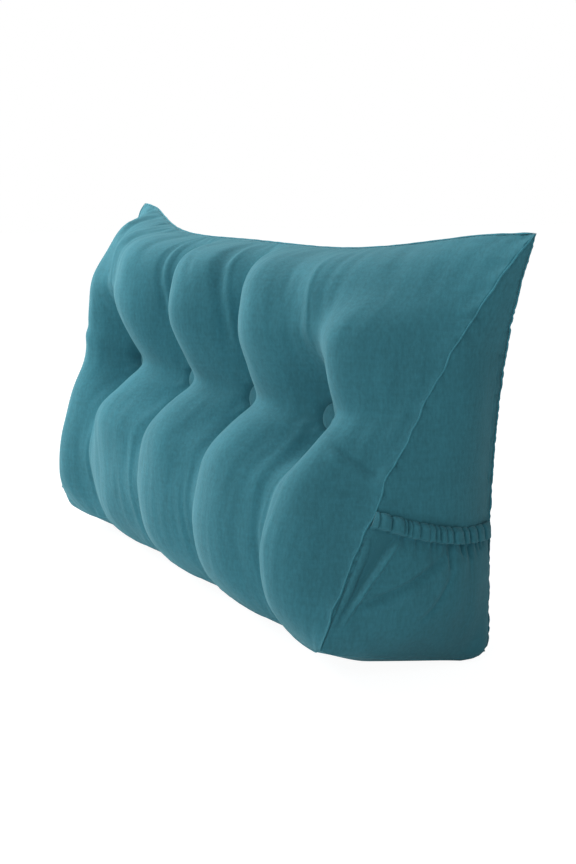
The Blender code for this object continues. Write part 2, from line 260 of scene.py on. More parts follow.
# Ridges along the seams
RIDGE_SWELL = 0.16             # how unevenly they swell, share of the radius
RIDGE_WAVE = 0.030
RIDGE_SWAY = 0.35              # how far they sway to the side, share of the radius
SWAY_WAVE = 0.040
RIDGE_LIFT = 0.35              # how far their middle stands above the seam
RIDGE_TIP = 0.020              # length over which an end grows thin
TIP_SHARE = 0.15
RIDGE_CENTRE = (0.0, 0.03, 0.15)    # the ridges face away from this point
BASE_RIDGE = 0.5

# Side pocket
MOUTH_HEIGHT_FRONT = 0.188
MOUTH_HEIGHT_BACK = 0.159
MOUTH_SAG = 0.006
POCKET_INSET = 0.008           # share of the end panel's width left free at each side seam
POCKET_FOOT = 0.003            # share of the pocket's height left free above the bottom seam
POCKET_EDGE_GAP = 0.0003
MOUTH_FULLNESS = 0.0014        # room between panel and pocket at the mouth
BELLY_FULLNESS = 0.0180        # and half way down
POCKET_WIDTH = 0.19            # rough width and height, for distances from its edge
POCKET_HEIGHT = 0.14
MOUTH_WIDTH = 0.20             # rough width of the mouth and height below it, for the pleats
MOUTH_HEIGHT = 0.15
HEM_SHARE = 0.100              # height of the gathered hem against the pocket's height
HEM_STEP = 0.010               # share of the height over which the hem begins
HEM_STITCH = 0.0011            # depth of the row of stitches under the hem
SCALLOP = 0.0022               # how far the gathers lift the mouth's edge
SCALLOP_START = 0.93
LIP = 0.45                     # how far the hem's edge is drawn in, share of its thickness
LIP_SHARE = 0.25               # share of the hem that draws in
RIM_RISE = 0.0008
POCKET_SWELL = 0.0008
POCKET_WAVES = (0.045, 0.060)
EDGE_FADE = 0.012              # distance from the sewn edges over which folds fade
EDGE_CLOTH = 0.35              # share of the thickness left at the sewn edges
FOLD_END = 0.03                # how far above the hem's foot a fold ends, and how softly
FOLD_FADE = 0.05
GATHER_FADE = 0.006            # distance over which the gathers fade, and where they end
GATHER_START = 0.003
# Places of the hem's pleats across the pocket, how deep each is and how far it runs on below
PLEATS = (
    # across, depth, tail
    (0.023, 0.8, 0.5),
    (0.094, 1.0, 0.9),
    (0.172, 0.7, 0.4),
    (0.197, 1.0, 1.0),
    (0.224, 0.6, 0.3),
    (0.281, 0.8, 0.8),
    (0.344, 0.5, 0.3),
    (0.389, 0.8, 1.0),
    (0.424, 1.0, 0.8),
    (0.477, 0.6, 0.4),
    (0.538, 1.0, 1.3),
    (0.640, 0.9, 0.8),
    (0.704, 1.0, 1.2),
    (0.792, 0.9, 0.8),
    (0.880, 0.7, 0.4),
)
PLEAT_WIDTH = 0.0090           # half width of a pleat's slit, share of the mouth
RUFFLE_WIDTH = 0.024           # and of the round shoulders beside it
PLEAT_LEAN = 0.012             # how far a pleat leans to one side down the hem
TAIL_LENGTH = 0.018            # how far a pleat runs on below the hem
TAIL_WIDTH = 0.0024
TAIL_SPREAD = 0.12             # how fast it widens
TAIL_DEPTH = 0.0030
HEM_CREASE = 0.0030            # the cloth is drawn in right below the hem
CREASE_LENGTH = 0.010
# Folds of the pocket: Y and Z at both ends, bow, half width and height
POCKET_FOLDS = (
    # y, z, y, z, bow, width, height
    (0.038, 0.144, -0.064, 0.092, 0.004, 0.0036, -0.0036),
    (0.040, 0.136, -0.060, 0.084, 0.004, 0.0050, 0.0014),
    (0.042, 0.122, 0.006, 0.072, 0.003, 0.0036, -0.0024),
    (0.043, 0.158, 0.040, 0.124, 0.000, 0.0030, -0.0030),
    (0.060, 0.154, 0.060, 0.136, 0.000, 0.0026, -0.0022),
    (0.076, 0.153, 0.072, 0.130, 0.000, 0.0028, -0.0026),
    (0.091, 0.152, 0.092, 0.134, 0.000, 0.0028, -0.0020),
    (0.000, 0.172, -0.020, 0.160, 0.000, 0.0030, -0.0022),
    (-0.005, 0.172, -0.083, 0.058, -0.0035, 0.0022, 0.0028),
)
POCKET_PAINTED_SHADE = 1.5             # how strongly its tuck and folds are painted into the pile's colour, as painted shade in hollows and painted light on ridges
# The pocket's tuck: its two ends in Y and Z, bow, sharpness, reach and depth
POCKET_TUCK = ((-0.008, 0.172), (-0.086, 0.058), -0.0035, 0.0005, 0.0240, 0.0095)

# Covered buttons: radius and height of the side's profile below the dome
BUTTON_SIDE = (
    # radius against the button's, height
    (0.0, 0.0),
    (0.6, 0.0),
    (0.9, 0.0003),
    (0.975, 0.0014),
)
DOME_STEPS = 21
FLUTES = 16                    # gathers of the cloth over the edge
FLUTE_DEPTH = 0.012
FLUTE_START = 0.6              # share of the radius where they begin

# Finish of the cloth
BUTTON_TONE = 0.84             # colour against the cushion's
# painted highlight: the seam ridges are painted lighter than the cushion
SEAM_HIGHLIGHT_TONE = 1.30
SPECULAR = 0.25
SHEEN_ROUGHNESS = 0.50
SHEEN_TINT = (0.50, 0.86, 0.92, 1.0)
NAP_SHADES = ((0.25, 0.86), (0.78, 1.14))   # place on the ramp and gain of its two colours
FLECK_SHADE = 0.8
THREAD_SHADE = 0.8
RELIEF_UNIT = 1000.0           # the cloth's relief is kept in millimetres
# painted shade and light: share of the relief that darkens creases and lightens ridges in the pile's
# colour
RELIEF_PAINTED_SHADE = 0.020
PILE_BUMP = 0.55
NAP_BUMP = 0.12
NAP_RISE = 0.004

# Mesh density
LOBE_COLUMNS = 48
LOBE_CROWDING = 0.45           # how much the columns crowd towards the grooves
FRONT_ROWS = 150
BASE_ROWS = 44
BASE_CROWDING = 0.50
POCKET_COLUMNS = 300
POCKET_CROWDING = 0.25
POCKET_ROWS = 120
WELT_SIDES = 8
BASE_PATHS = (5, 6, 7, 8)      # seams round the base, whose ridges are thinner
BUTTON_SIDES = 64
GAP_COLUMNS = 8                # columns whose distance to a seam is taken at a time
GAP_STEP = 3                   # to each third point of the seam

# Camera at the photograph's viewing angle
CAMERA_PLACE = (1.561, -0.757, 0.5196)
CAMERA_PITCH = 10.326
CAMERA_AZIMUTH = 61.463
SENSOR = 36.0
IMAGE_HEIGHT = 864
FOCAL_PIXELS = 1331.5

# Light and floor
KEY_FROM = (-1.20, -0.80, 1.70)
KEY_WIDTH = 2.0
FILL_FROM = (0.47, -0.67, 0.57)
FILL_SPREAD = 40.0
LIGHT_TARGET = (0.0, 0.0, 0.2)
SKY_COLOUR = (0.90, 0.98, 1.0, 1.0)
FLOOR_HALF = 14.0
FLOOR_ROUGHNESS = 0.9
FLOOR_GLOW = 0.74              # share of the floor seen as plain white, for pale shadows
GLOW_STRENGTH = 1.27


class CushionSizes(bpy.types.PropertyGroup):
    """Sizes of the filled cushion that a user would change."""

    fold_strength: bpy.props.FloatProperty(
        name="Fold Strength", description="Height of the folds against the drawn ones", default=1.0
    )
    pucker: bpy.props.FloatProperty(
        name="Pucker", description="Depth of the puckers beside a seam", default=0.0018,
        unit="LENGTH",
    )
    pucker_reach: bpy.props.FloatProperty(
        name="Pucker Reach", description="How far a pucker runs in from its seam", default=0.011,
        unit="LENGTH",
    )
    waviness: bpy.props.FloatProperty(
        name="Waviness", description="Uneven swell of the filling under the cloth",
        default=0.0009, unit="LENGTH",
    )
    welt_radius: bpy.props.FloatProperty(
        name="Seam Ridge", description="Half width of the ridge along a sewn seam",
        default=0.0010, unit="LENGTH",
    )


class ButtonSizes(bpy.types.PropertyGroup):
    """Sizes of the covered buttons."""

    thickness: bpy.props.FloatProperty(
        name="Thickness", description="From the cushion's cloth to the top of the dome",
        default=0.0105, unit="LENGTH",
    )
    dome: bpy.props.FloatProperty(
        name="Dome", description="Height of the domed face", default=0.0042, unit="LENGTH"
    )


class PocketSizes(bpy.types.PropertyGroup):
    """Sizes of the gathered side pocket."""

    cloth: bpy.props.FloatProperty(
        name="Cloth", description="Thickness of the pocket's cloth", default=0.0018,
        unit="LENGTH",
    )
    hem: bpy.props.FloatProperty(
        name="Hem", description="Thickness of the doubled hem", default=0.0030, unit="LENGTH"
    )
    pleat: bpy.props.FloatProperty(
        name="Pleat", description="Height of the gathers between two pleats", default=0.0048,
        unit="LENGTH",
    )


class ClothFinish(bpy.types.PropertyGroup):
    """Colours and pile of the cloth."""

    colour: bpy.props.FloatVectorProperty(
        name="Colour", description="Middle colour of the pile", subtype="COLOR", size=3,
        min=0.0, max=1.0, default=(0.039, 0.183, 0.231),
    )
    roughness: bpy.props.FloatProperty(
        name="Roughness", description="Roughness of the pile", default=0.92, subtype="FACTOR"
    )
    sheen: bpy.props.FloatProperty(
        name="Sheen", description="Soft light on the pile's tips", default=0.22,
        subtype="FACTOR",
    )
    pile: bpy.props.FloatProperty(
        name="Pile", description="Length of the pile", default=0.0006, unit="LENGTH"
    )


class StageLook(bpy.types.PropertyGroup):
    """Floor and light round the pillow."""

    floor: bpy.props.FloatVectorProperty(
        name="Floor", description="Colour of the floor", subtype="COLOR", size=3,
        min=0.0, max=1.0, default=(0.94, 0.94, 0.94),
    )
    key: bpy.props.FloatProperty(
        name="Key Light", description="Power of the soft light from the left", default=57.0,
        unit="POWER",
    )
    fill: bpy.props.FloatProperty(
        name="Fill Light", description="Strength of the weak light from the right", default=0.60
    )
    sky: bpy.props.FloatProperty(
        name="Sky", description="Strength of the even light from all round", default=0.28
    )


def mix(start, end, share):
    """Straight mix of two values."""
    return start + (end - start) * share


def smoothstep(low, high, value):
    """0 below low, 1 above high and a soft S between them."""
    t = np.clip((value - low) / (high - low), 0.0, 1.0)
    return t * t * (3.0 - 2.0 * t)


def column(table, number):
    """One named column of a table."""
    return np.array([row[number] for row in table])


def through(knots, values, place):
    """Smooth curve through a row of points that never overshoots them.

    Between two points it is the cubic that meets both with given slopes, and the slope at
    a point is the harmonic mean of the slopes beside it, or 0 at a turning point.
    """
    knots, values, place = (np.asarray(item, float) for item in (knots, values, place))
    slopes = np.diff(values) / np.diff(knots)
    before, after = slopes[:-1], slopes[1:]
    agree = before * after > 0.0
    inner = np.where(agree, 2.0 * before * after / np.where(agree, before + after, 1.0), 0.0)
    tangents = np.concatenate([slopes[:1], inner, slopes[-1:]])
    span = np.clip(np.searchsorted(knots, place, side="right") - 1, 0, len(knots) - 2)
    width = knots[span + 1] - knots[span]
    t = np.clip((place - knots[span]) / width, 0.0, 1.0)
    start = (1.0 + 2.0 * t) * (1.0 - t) ** 2 * values[span]
    start += t * (1.0 - t) ** 2 * width * tangents[span]
    end = t * t * (3.0 - 2.0 * t) * values[span + 1]
    end += t * t * (t - 1.0) * width * tangents[span + 1]
    return start + end


def curve_of(table, number, place):
    """Smooth curve through one column of a table over its first column."""
    return through(column(table, 0), column(table, number), place)


def rounded(knots, values, place):
    """The curve of through with its bends rounded.

    It is an average over a bell curve of offsets, which are shorter near the buttons. Past
    its first and last knot the curve is turned about them, so that it passes through both.
    """
    place = np.asarray(place, float)
    tight = np.exp(-(((place - BUTTON_ALONG) / TIGHT_REACH) ** 2))
    bend = mix(BEND, TIGHT_BEND, tight)
    low, high = knots[0], knots[-1]
    total, weights = np.zeros_like(place), 0.0
    for offset in np.linspace(-2.0, 2.0, 9):
        weight = math.exp(-offset * offset / 2.0)
        at = place + offset * bend
        curve = through(knots, values, 2.0 * np.clip(at, low, high) - at)
        curve = np.where(at < low, 2.0 * values[0] - curve, curve)
        curve = np.where(at > high, 2.0 * values[-1] - curve, curve)
        total += weight * curve
        weights += weight
    return total / weights


def ripples(u, v, seed, waves=14):
    """Smooth uneven relief of about -1 to 1 with a wavelength of about 1.

    It is a sum of plane sine waves whose directions, lengths and phases are drawn at random.
    """
    rng = np.random.default_rng(seed)
    total = np.zeros(np.broadcast(u, v).shape)
    for turn, length, phase in rng.uniform(0.0, 1.0, (waves, 3)):
        angle = 2.0 * np.pi * turn
        run = (0.6 + length) * (u * np.cos(angle) + v * np.sin(angle))
        total += np.sin(2.0 * np.pi * (run + phase))
    return total / math.sqrt(waves / 2.0) / 1.6


def fold(u, v, start, end, bow, width, height):
    """Height of one soft fold over the points u, v.

    Across the line from start to end, bent sideways by a parabola of height bow, the fold
    is a bell curve of the given half width. It fades out over its first and last fifth.
    """
    run = np.subtract(end, start)
    length = math.hypot(*run)
    along = ((u - start[0]) * run[0] + (v - start[1]) * run[1]) / length**2
    aside = ((v - start[1]) * run[0] - (u - start[0]) * run[1]) / length
    aside = aside - 4.0 * bow * along * (1.0 - along)
    fade = smoothstep(-0.12, 0.2, along) * (1.0 - smoothstep(0.72, 1.1, along))
    return height * fade * np.exp(-((aside / width) ** 2))


def step(u, v, start, end, bow, sharp, reach, depth):
    """Height of a tuck: cloth drops sharply on one side of a bowed line and comes slowly back.

    The drop is a logistic curve of the distance from the line and it fades as an
    exponential, and along the line it fades over the first and last fifth.
    """
    run = np.subtract(end, start)
    length = math.hypot(*run)
    along = ((u - start[0]) * run[0] + (v - start[1]) * run[1]) / length**2
    aside = ((u - start[0]) * run[1] - (v - start[1]) * run[0]) / length
    aside = aside + 4.0 * bow * along * (1.0 - along)
    fade = smoothstep(-0.10, 0.15, along) * (1.0 - smoothstep(0.75, 1.1, along))
    drop = 1.0 / (1.0 + np.exp(-np.clip(aside / sharp, -30.0, 30.0)))
    return -depth * fade * drop * np.exp(-np.maximum(aside, 0.0) / reach)


def ear_height(along):
    """Height of the ear on this side of the centre."""
    return np.where(np.asarray(along) > 0.0, POCKET_EAR_HEIGHT, PLAIN_EAR_HEIGHT)


def ear_lift(along):
    """How far the top seam is lifted towards its ear, 0 to 1.

    It is one minus a power of one minus a higher power of the place along the pillow.
    """
    power = np.where(np.asarray(along) > 0.0, POCKET_EAR_POWER, PLAIN_EAR_POWER)
    return 1.0 - np.maximum(1.0 - np.abs(along) ** power, 0.0) ** EAR_EASE


def spread(along, height):
    """X of a place along the pillow, -1 to 1: the ends run out to the ears with height."""
    rise = (height - FRONT_CORNER_HEIGHT) / (ear_height(along) - FRONT_CORNER_HEIGHT)
    run_out = (EAR_HALF_SPAN - SEAM_HALF_SPAN) * np.maximum(rise, 0.0) ** FLARE_POWER
    return along * SEAM_HALF_SPAN + np.sign(along) * np.abs(along) ** RUN_OUT_POWER * run_out


def top_seam(along):
    """Y and Z of the top seam: level, with its ends lifted by a high power of the place."""
    ear = ear_lift(along)
    level = TOP_SEAM_HEIGHT + FAR_SEAM_RISE * (1.0 - smoothstep(-0.1, 0.6, along))
    return mix(TOP_SEAM_DEPTH, EAR_DEPTH, ear), mix(level, ear_height(along), ear)


def front_seam(along):
    """Y and Z of the bottom seam at the front."""
    corner = np.abs(along) ** CORNER_POWER
    depth = mix(FRONT_SEAM_DEPTH, FRONT_CORNER_DEPTH, corner)
    return depth, mix(FRONT_SEAM_HEIGHT, FRONT_CORNER_HEIGHT, corner)


def groove_shift(along, share):
    """Sideways drift of the tufting near the top seam: a falling square, none at the ends."""
    rise = np.maximum(1.0 - share / DRIFT_END, 0.0) ** 2
    return GROOVE_DRIFT * rise * (1.0 - along**6)


def lobe_edges():
    """Places along the pillow, -1 to 1, where one lobe ends and the next begins."""
    return np.concatenate([[-1.0], BUTTON_XS / SEAM_HALF_SPAN, [1.0]])


def front_columns():
    """Place along the pillow, lobe and place in the lobe of each column of the front.

    In a lobe the columns follow t + k sin(pi t) / pi, so that they crowd to the grooves.
    """
    t = np.linspace(-1.0, 1.0, LOBE_COLUMNS + 1)[:-1]
    local = t + LOBE_CROWDING * np.sin(np.pi * t) / np.pi
    edges = lobe_edges()
    lobe = np.repeat(np.arange(len(LOBES)), LOBE_COLUMNS)
    across = np.tile(local, len(LOBES))
    along = mix(edges[lobe], edges[lobe + 1], (across + 1.0) / 2.0)
    last = len(LOBES) - 1
    return np.append(along, 1.0), np.append(lobe, last), np.append(across, 1.0)


def relief(lobe, across, down):
    """Height of the tufted front above its straight line from seam to seam.

    It is the groove's height plus the lobe's, a power of the cosine of the place across
    the lobe. That place is eased by a root of a sum of squares beside each groove, which
    rounds the groove's floor.
    """
    shares = column(STATIONS, 0)
    line, groove = (rounded(shares, column(STATIONS, number), down)[0] for number in (1, 2))
    rows = [(row[0], *row, row[-1]) for row in LOBES]
    full = np.stack([rounded(FULLNESS_STATIONS, row, down)[0] for row in rows])
    full[[0, -1]] *= END_LOBE
    crest = (line * full)[lobe[:, 0]]
    fills = [(above, above, 0.0, 0.0, below, below, FILL_AT_SEAM) for *_, above, below in GROOVES]
    filled = [through(FILL_STATIONS, fill, down)[0] for fill in fills]
    seam = np.zeros_like(groove)
    valleys = np.stack([seam, *[mix(groove, line, share) for share in filled], seam])
    left, right = valleys[lobe[:, 0]], valleys[lobe[:, 0] + 1]
    valley = mix(left, right, (across + 1.0) / 2.0)
    widths = [END_FLOOR, *[row[:3] for row in GROOVES], END_FLOOR]
    floors = np.stack([through(GROOVE_STATIONS, row, down)[0] for row in widths])
    half_lobe = SEAM_HALF_SPAN * np.diff(lobe_edges())[lobe] / 2.0
    ease = floors[lobe[:, 0] + (across[:, 0] > 0.0)] / half_lobe
    edge = 1.0 - np.abs(across)
    eased = (np.sqrt(edge**2 + ease**2) - ease) / (np.sqrt(1.0 + ease**2) - ease)
    swell = np.sin(np.pi * eased / 2.0) ** LOBE_POWER
    return valley + (crest - (left + right) / 2.0) * swell


def front_surface(along, lobe, across, share):
    """Points of the tufted front: columns along the pillow, rows from top to bottom seam.

    Each lies on the straight line between the seams, pushed out along its normal by the
    relief, and the lower bellies are lifted back up the line by a sine of the share.
    """
    along, lobe, across = along[:, None], lobe[:, None], across[:, None]
    share = share[None, :]
    top_y, top_z = top_seam(along)
    foot_y, foot_z = front_seam(along)
    outer = ((lobe == 0) & (across < 0.0)) | ((lobe == len(LOBES) - 1) & (across > 0.0))
    tuck = np.where(outer, 0.0, SEAM_TUCK * np.abs(across) ** 3)
    foot_y, foot_z = foot_y + tuck, foot_z + tuck - SEAM_SAG * (1.0 - across**2)
    length = np.hypot(foot_y - top_y, foot_z - top_z)
    down_y, down_z = (foot_y - top_y) / length, (foot_z - top_z) / length
    height = mix(top_z, foot_z, share)
    swell = relief(lobe, across, share)
    reach = np.clip((share - LIFT_START) / (1.0 - LIFT_START), 0.0, 1.0)
    lift = -LIFT * swell * np.sin(np.pi * reach)
    x = spread(along, height) + groove_shift(along, share)
    y = mix(top_y, foot_y, share) + down_z * swell + down_y * lift
    z = height - down_y * swell + down_z * lift
    return np.stack([x, y, np.maximum(z, 0.0)], axis=-1)


def end_seam_height(start, across):
    """Height of an end panel's bottom seam: it sags from its front corner to the back one."""
    return BACK_SEAM_HEIGHT + (start - BACK_SEAM_HEIGHT) * (1.0 - across) ** END_SEAM_SAG


def base_surface(seam, along, share):
    """Points of the base panel from the front seam to the back seam.

    It drops to the floor by a power curve, lies flat and rises again, and towards its
    ends it eases to the straight line between the end seam's corners.
    """
    along, share = along[:, None], share[None, :]
    seam_x, seam_y, seam_z = (seam[:, None, axis] for axis in range(3))
    y = mix(seam_y, BACK_SEAM_DEPTH, share)
    x = mix(seam_x, along * SEAM_HALF_SPAN, share)
    drop = seam_z * np.maximum(1.0 - share / CONTACT_START, 0.0) ** BASE_CURVE
    rise = np.maximum(share - CONTACT_END, 0.0) / (1.0 - CONTACT_END)
    z = drop + BACK_SEAM_HEIGHT * rise**BASE_CURVE
    start = np.minimum(mix(END_LIFT_FRONT, END_LIFT_BACK, share), END_LIFT_MOST)
    reach = np.maximum(np.abs(along) - start, 0.0) / (1.0 - start)
    end_seam = end_seam_height(seam_z, share)
    return np.stack([x, y, mix(z, end_seam, reach**END_LIFT_POWER)], axis=-1)


def back_surface(along, share):
    """Points of the back panel from its bottom seam up to the top seam.

    A straight line from seam to seam, bowed out by the bulge's curve, less towards the ends.
    """
    along, share = along[:, None], share[None, :]
    top_y, top_z = top_seam(along)
    height = mix(BACK_SEAM_HEIGHT, top_z, share)
    bulge = curve_of(BACK_STATIONS, 1, share)
    bow = BACK_BOW * np.sin(np.pi * share**BACK_BOW_POWER)
    y = mix(BACK_SEAM_DEPTH, top_y, share) + bow + BACK_FULLNESS * (1.0 - along**4) * bulge
    x = spread(along, height) + groove_shift(along, 1.0 - share)
    return np.stack([x, y, height], axis=-1)


def base_edge(side, across):
    """Y and Z of an end panel's bottom seam, across = 0 at the front seam to 1 at the back."""
    corner_y, corner_z = front_seam(float(side))
    return mix(corner_y, BACK_SEAM_DEPTH, across), end_seam_height(corner_z, across)


def end_surface(side, across, share):
    """Points of an end panel: straight lines from its bottom seam to the ear, bulged out
    by a power of a sine across it and by the bulge's curve up it."""
    foot_y, foot_z = base_edge(side, across)
    ear = POCKET_EAR_HEIGHT if side > 0 else PLAIN_EAR_HEIGHT
    y, z = mix(foot_y, EAR_DEPTH, share), mix(foot_z, ear, share)
    bulge = curve_of(END_STATIONS, 1, share)
    bulge = bulge * END_FULLNESS * np.sin(np.pi * across) ** END_ROUNDNESS
    reach = np.abs(spread(np.full(np.shape(z), float(side)), z)) + bulge
    return np.stack([side * reach, y, z], axis=-1)


def normals(points, outward):
    """Unit normals of a grid of points, on the side that faces outward."""
    normal = np.cross(np.gradient(points, axis=0), np.gradient(points, axis=1))
    normal /= np.maximum(np.linalg.norm(normal, axis=-1, keepdims=True), 1e-12)
    return normal * np.sign(np.mean(normal @ np.array(outward, float)))


def path_length(points):
    """Length run along a row of points, starting from 0."""
    steps = np.linalg.norm(np.diff(points, axis=0), axis=-1)
    return np.concatenate([[0.0], np.cumsum(steps)])


def puckers(run, distance, sizes, seed):
    """Dents beside a seam: uneven ripples along it that fade with distance from it.

    They are nothing on the seam itself, deepest a few millimetres from it and gone past
    the reach.
    """
    ripple = ripples(run / PUCKER_SPACING, distance / PUCKER_LENGTH, seed)
    strength = 0.5 + 0.5 * ripples(run / PUCKER_PATCH, 0.0, seed + 1, waves=6)
    rise = smoothstep(0.0, PUCKER_START, distance)
    rise = rise * np.exp(-((distance / sizes.pucker_reach) ** 2))
    return sizes.pucker * ripple * np.clip(strength, 0.15, 1.2) * rise


def button_frames():
    """Floor of the dimple under each button, and the way the buttons face."""
    middle = len(BUTTON_XS) // 2
    lobes = np.arange(len(BUTTON_XS))
    along = BUTTON_XS / SEAM_HALF_SPAN
    share = np.array([BUTTON_ALONG])
    floors = front_surface(along, lobes, np.ones(len(lobes)), share)[:, 0]
    top_y, top_z = top_seam(along[middle])
    foot_y, foot_z = front_seam(along[middle])
    length = math.hypot(foot_y - top_y, foot_z - top_z)
    out = np.array([0.0, (foot_z - top_z) / length, -(foot_y - top_y) / length])
    return floors, out


def button_wells(points):
    """Presses the cloth down under each button and tucks it round the button's edge.

    Inside the button's radius the cloth keeps below its back, and it rises to its own
    height over a short shoulder. Round it, folds run out like spokes and fade.
    """
    floors, out = button_frames()
    spoke = np.cross([1.0, 0.0, 0.0], out)
    pressed = points.copy()
    for number, floor in enumerate(floors):
        offset = pressed - floor
        height = offset @ out
        right, up = offset[..., 0], offset @ spoke
        radius = np.hypot(right, up)
        turn = np.arctan2(up, right)
        free = smoothstep(BUTTON_RADIUS * WELL_EDGE, BUTTON_RADIUS + WELL_SHOULDER, radius)
        level = mix(np.minimum(height, WELL_FLOOR), height, free)
        ring = np.exp(-(((radius - BUTTON_RADIUS - TUCK_START) / TUCK_REACH) ** 2))
        ring *= smoothstep(BUTTON_RADIUS * TUCK_EDGE, BUTTON_RADIUS + TUCK_START, radius)
        uneven = ripples(np.cos(turn) * 0.8, np.sin(turn) * 0.8, 40 + number, waves=6)
        level += TUCK_HEIGHT * ring * np.cos(TUCKS * turn + TUCK_WANDER * uneven)
        pressed += np.where(radius < WELL_REACH, level - height, 0.0)[..., None] * out
    return pressed


def front_details(points, along, share, sizes):
    """The front with its folds, puckers, wells and the filling's uneven swell.

    Its relief paints shade and light into the pile's colour. Round each button it is
    lowered by a bell curve, as painted shade in the recess.
    """
    x = (along * SEAM_HALF_SPAN)[:, None]
    v = (share * FRONT_LENGTH)[None, :]
    height = np.zeros(points.shape[:2])
    for x_a, down_a, x_b, down_b, bow, width, tall in FRONT_FOLDS:
        ends = (x_a, down_a * FRONT_LENGTH), (x_b, down_b * FRONT_LENGTH)
        height += sizes.fold_strength * fold(x, v, *ends, bow, width, tall)
    for (wide, long), part, seed in ((SWELL_WAVES, 1.0, 3), (FINE_SWELL_WAVES, FINE_SWELL, 4)):
        height += part * sizes.waviness * ripples(x / wide, v / long, seed)
    from_top, from_foot = v, FRONT_LENGTH - v
    for side, seed in ((-1.0, 11), (1.0, 12)):
        height += puckers(v, np.abs(side * SEAM_HALF_SPAN - x), sizes, seed)
    height += TOP_PUCKER * puckers(x, from_top, sizes, 13) + puckers(x, from_foot, sizes, 14)
    edge = smoothstep(0.0, 0.006, np.minimum(from_top, from_foot))
    edge = edge * smoothstep(0.0, 0.004, SEAM_HALF_SPAN - np.abs(x))
    shaped = points + normals(points, (0.0, -1.0, 0.3)) * (height * edge)[..., None]
    # painted shade: the relief, and with it the pile's colour, is lowered round each button
    pressed = np.zeros_like(height)
    for middle in BUTTON_XS:
        gap = np.hypot(x - middle, v - BUTTON_ALONG * FRONT_LENGTH)
        pressed += RECESS_PAINTED_SHADE * np.exp(-((gap / RECESS_SHADE_REACH) ** 2))
    return button_wells(shaped), height * edge - pressed


def panel_details(points, outward, reach, run, sizes, seed):
    """A plain panel with an uneven swell, puckers and a soft crease along its seams."""
    u, v = run
    height = PANEL_SWELL * sizes.waviness * ripples(u / PANEL_WAVES[0], v / PANEL_WAVES[1], seed)
    height = height * smoothstep(0.0, 0.030, reach)
    height += puckers(u + v, reach, sizes, seed + 1)
    crease = smoothstep(0.0, 0.0020, reach) * np.exp(-((reach / CREASE_REACH) ** 2))
    height -= SEAM_CREASE * crease
    return points + normals(points, outward) * height[..., None], height


def seam_reach(points, *edges):
    """Distance of each grid point to the nearest of some rows of points on its edges.

    It is taken over a few columns of the grid at a time, to keep the arrays small.
    """
    near = np.full(points.shape[:2], np.inf)
    for edge in edges:
        for start in range(0, len(points), GAP_COLUMNS):
            part = slice(start, start + GAP_COLUMNS)
            gap = np.linalg.norm(points[part, :, None] - edge[None, None, ::GAP_STEP], axis=-1)
            near[part] = np.minimum(near[part], gap.min(axis=2))
    return near


def crowded(count, crowding):
    """Shares from 0 to 1 that crowd to both ends."""
    t = np.linspace(-1.0, 1.0, count + 1)
    return (t + crowding * np.sin(np.pi * t) / np.pi + 1.0) / 2.0


def quads(grid):
    """Faces between neighbouring rows and columns of a grid of vertex numbers."""
    corners = (grid[:-1, :-1], grid[1:, :-1], grid[1:, 1:], grid[:-1, 1:])
    return np.stack(corners, axis=-1).reshape(-1, 4)


def capped(rings, first, last):
    """Points and faces of a row of closed rings, drawn together at a point at each end."""
    count, sides = rings.shape[:2]
    points = np.concatenate([[first], rings.reshape(-1, 3), [last]])
    ids = np.arange(1, count * sides + 1).reshape(count, sides)
    tip = np.full((1, sides), len(points) - 1)
    ids = np.concatenate([np.zeros_like(tip), ids, tip])
    return points, quads(np.concatenate([ids, ids[:, :1]], axis=1))


def make_object(name, points, faces, attributes=None):
    """A smooth mesh object with outward faces, riding on the root body.

    A face whose corners hold a point twice becomes a triangle.
    """
    mesh = bpy.data.meshes.new(name)
    clean = [tuple(dict.fromkeys(face)) for face in faces.tolist()]
    mesh.from_pydata(points.tolist(), [], [face for face in clean if len(face) > 2])
    bm = bmesh.new()
    bm.from_mesh(mesh)
    bmesh.ops.recalc_face_normals(bm, faces=bm.faces)
    bm.to_mesh(mesh)
    bm.free()
    for label, values in (attributes or {}).items():
        layer = mesh.attributes.new(label, "FLOAT", "POINT")
        layer.data.foreach_set("value", np.asarray(values, np.float32))
    mesh.shade_smooth()
    item = bpy.data.objects.new(name, mesh)
    bpy.context.scene.collection.objects.link(item)
    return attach(item, "root")


def stuff_ear(panel):
    """Stuffs the far ear: points move out by a bell curve of their distance from its middle."""
    gap = np.linalg.norm(panel - np.array(EAR_MIDDLE), axis=-1)
    swell = EAR_STUFFING * np.exp(-((gap / EAR_REACH) ** 2))
    return panel + swell[..., None] * np.array(EAR_OUT)


def soften_corners(panel, side):
    """Pulls an end's corners in: each corner moves inwards by a bell curve of its distance."""
    foot_y, foot_z = base_edge(side, np.array([0.0, 1.0]))
    corners = ((foot_y[0], foot_z[0], FRONT_CORNER if side > 0 else FAR_FRONT_CORNER),
               (foot_y[1], foot_z[1], BACK_CORNER),
               (EAR_DEPTH, POCKET_EAR_HEIGHT if side > 0 else PLAIN_EAR_HEIGHT, EAR_CORNER))
    softened = panel.copy()
    for y, z, (inward_x, inward_y, inward_z, most, reach) in corners:
        gap = np.hypot(panel[..., 1] - y, panel[..., 2] - z)
        near_end = smoothstep(SEAM_HALF_SPAN - 2.0 * reach, SEAM_HALF_SPAN, side * panel[..., 0])
        pull = most * near_end * np.exp(-((gap / reach) ** 2))
        softened += pull[..., None] * np.array([-side * inward_x, inward_y, inward_z])
    return softened


def wander(panel, seam_gap, side):
    """Moves cloth near an end seam along Y by ripples of its height, which fade with the gap."""
    height = panel[..., 2]
    ripple = ripples(height / WANDER_WAVE, 0.0, 70 + side, waves=8)
    moved = panel.copy()
    ends = smoothstep(0.0, WANDER_FADE, height - FRONT_CORNER_HEIGHT)
    ends = ends * smoothstep(0.0, WANDER_FADE, POCKET_EAR_HEIGHT - height)
    moved[..., 1] += SEAM_WANDER * ripple * ends * np.exp(-((seam_gap / WANDER_REACH) ** 2))
    return moved


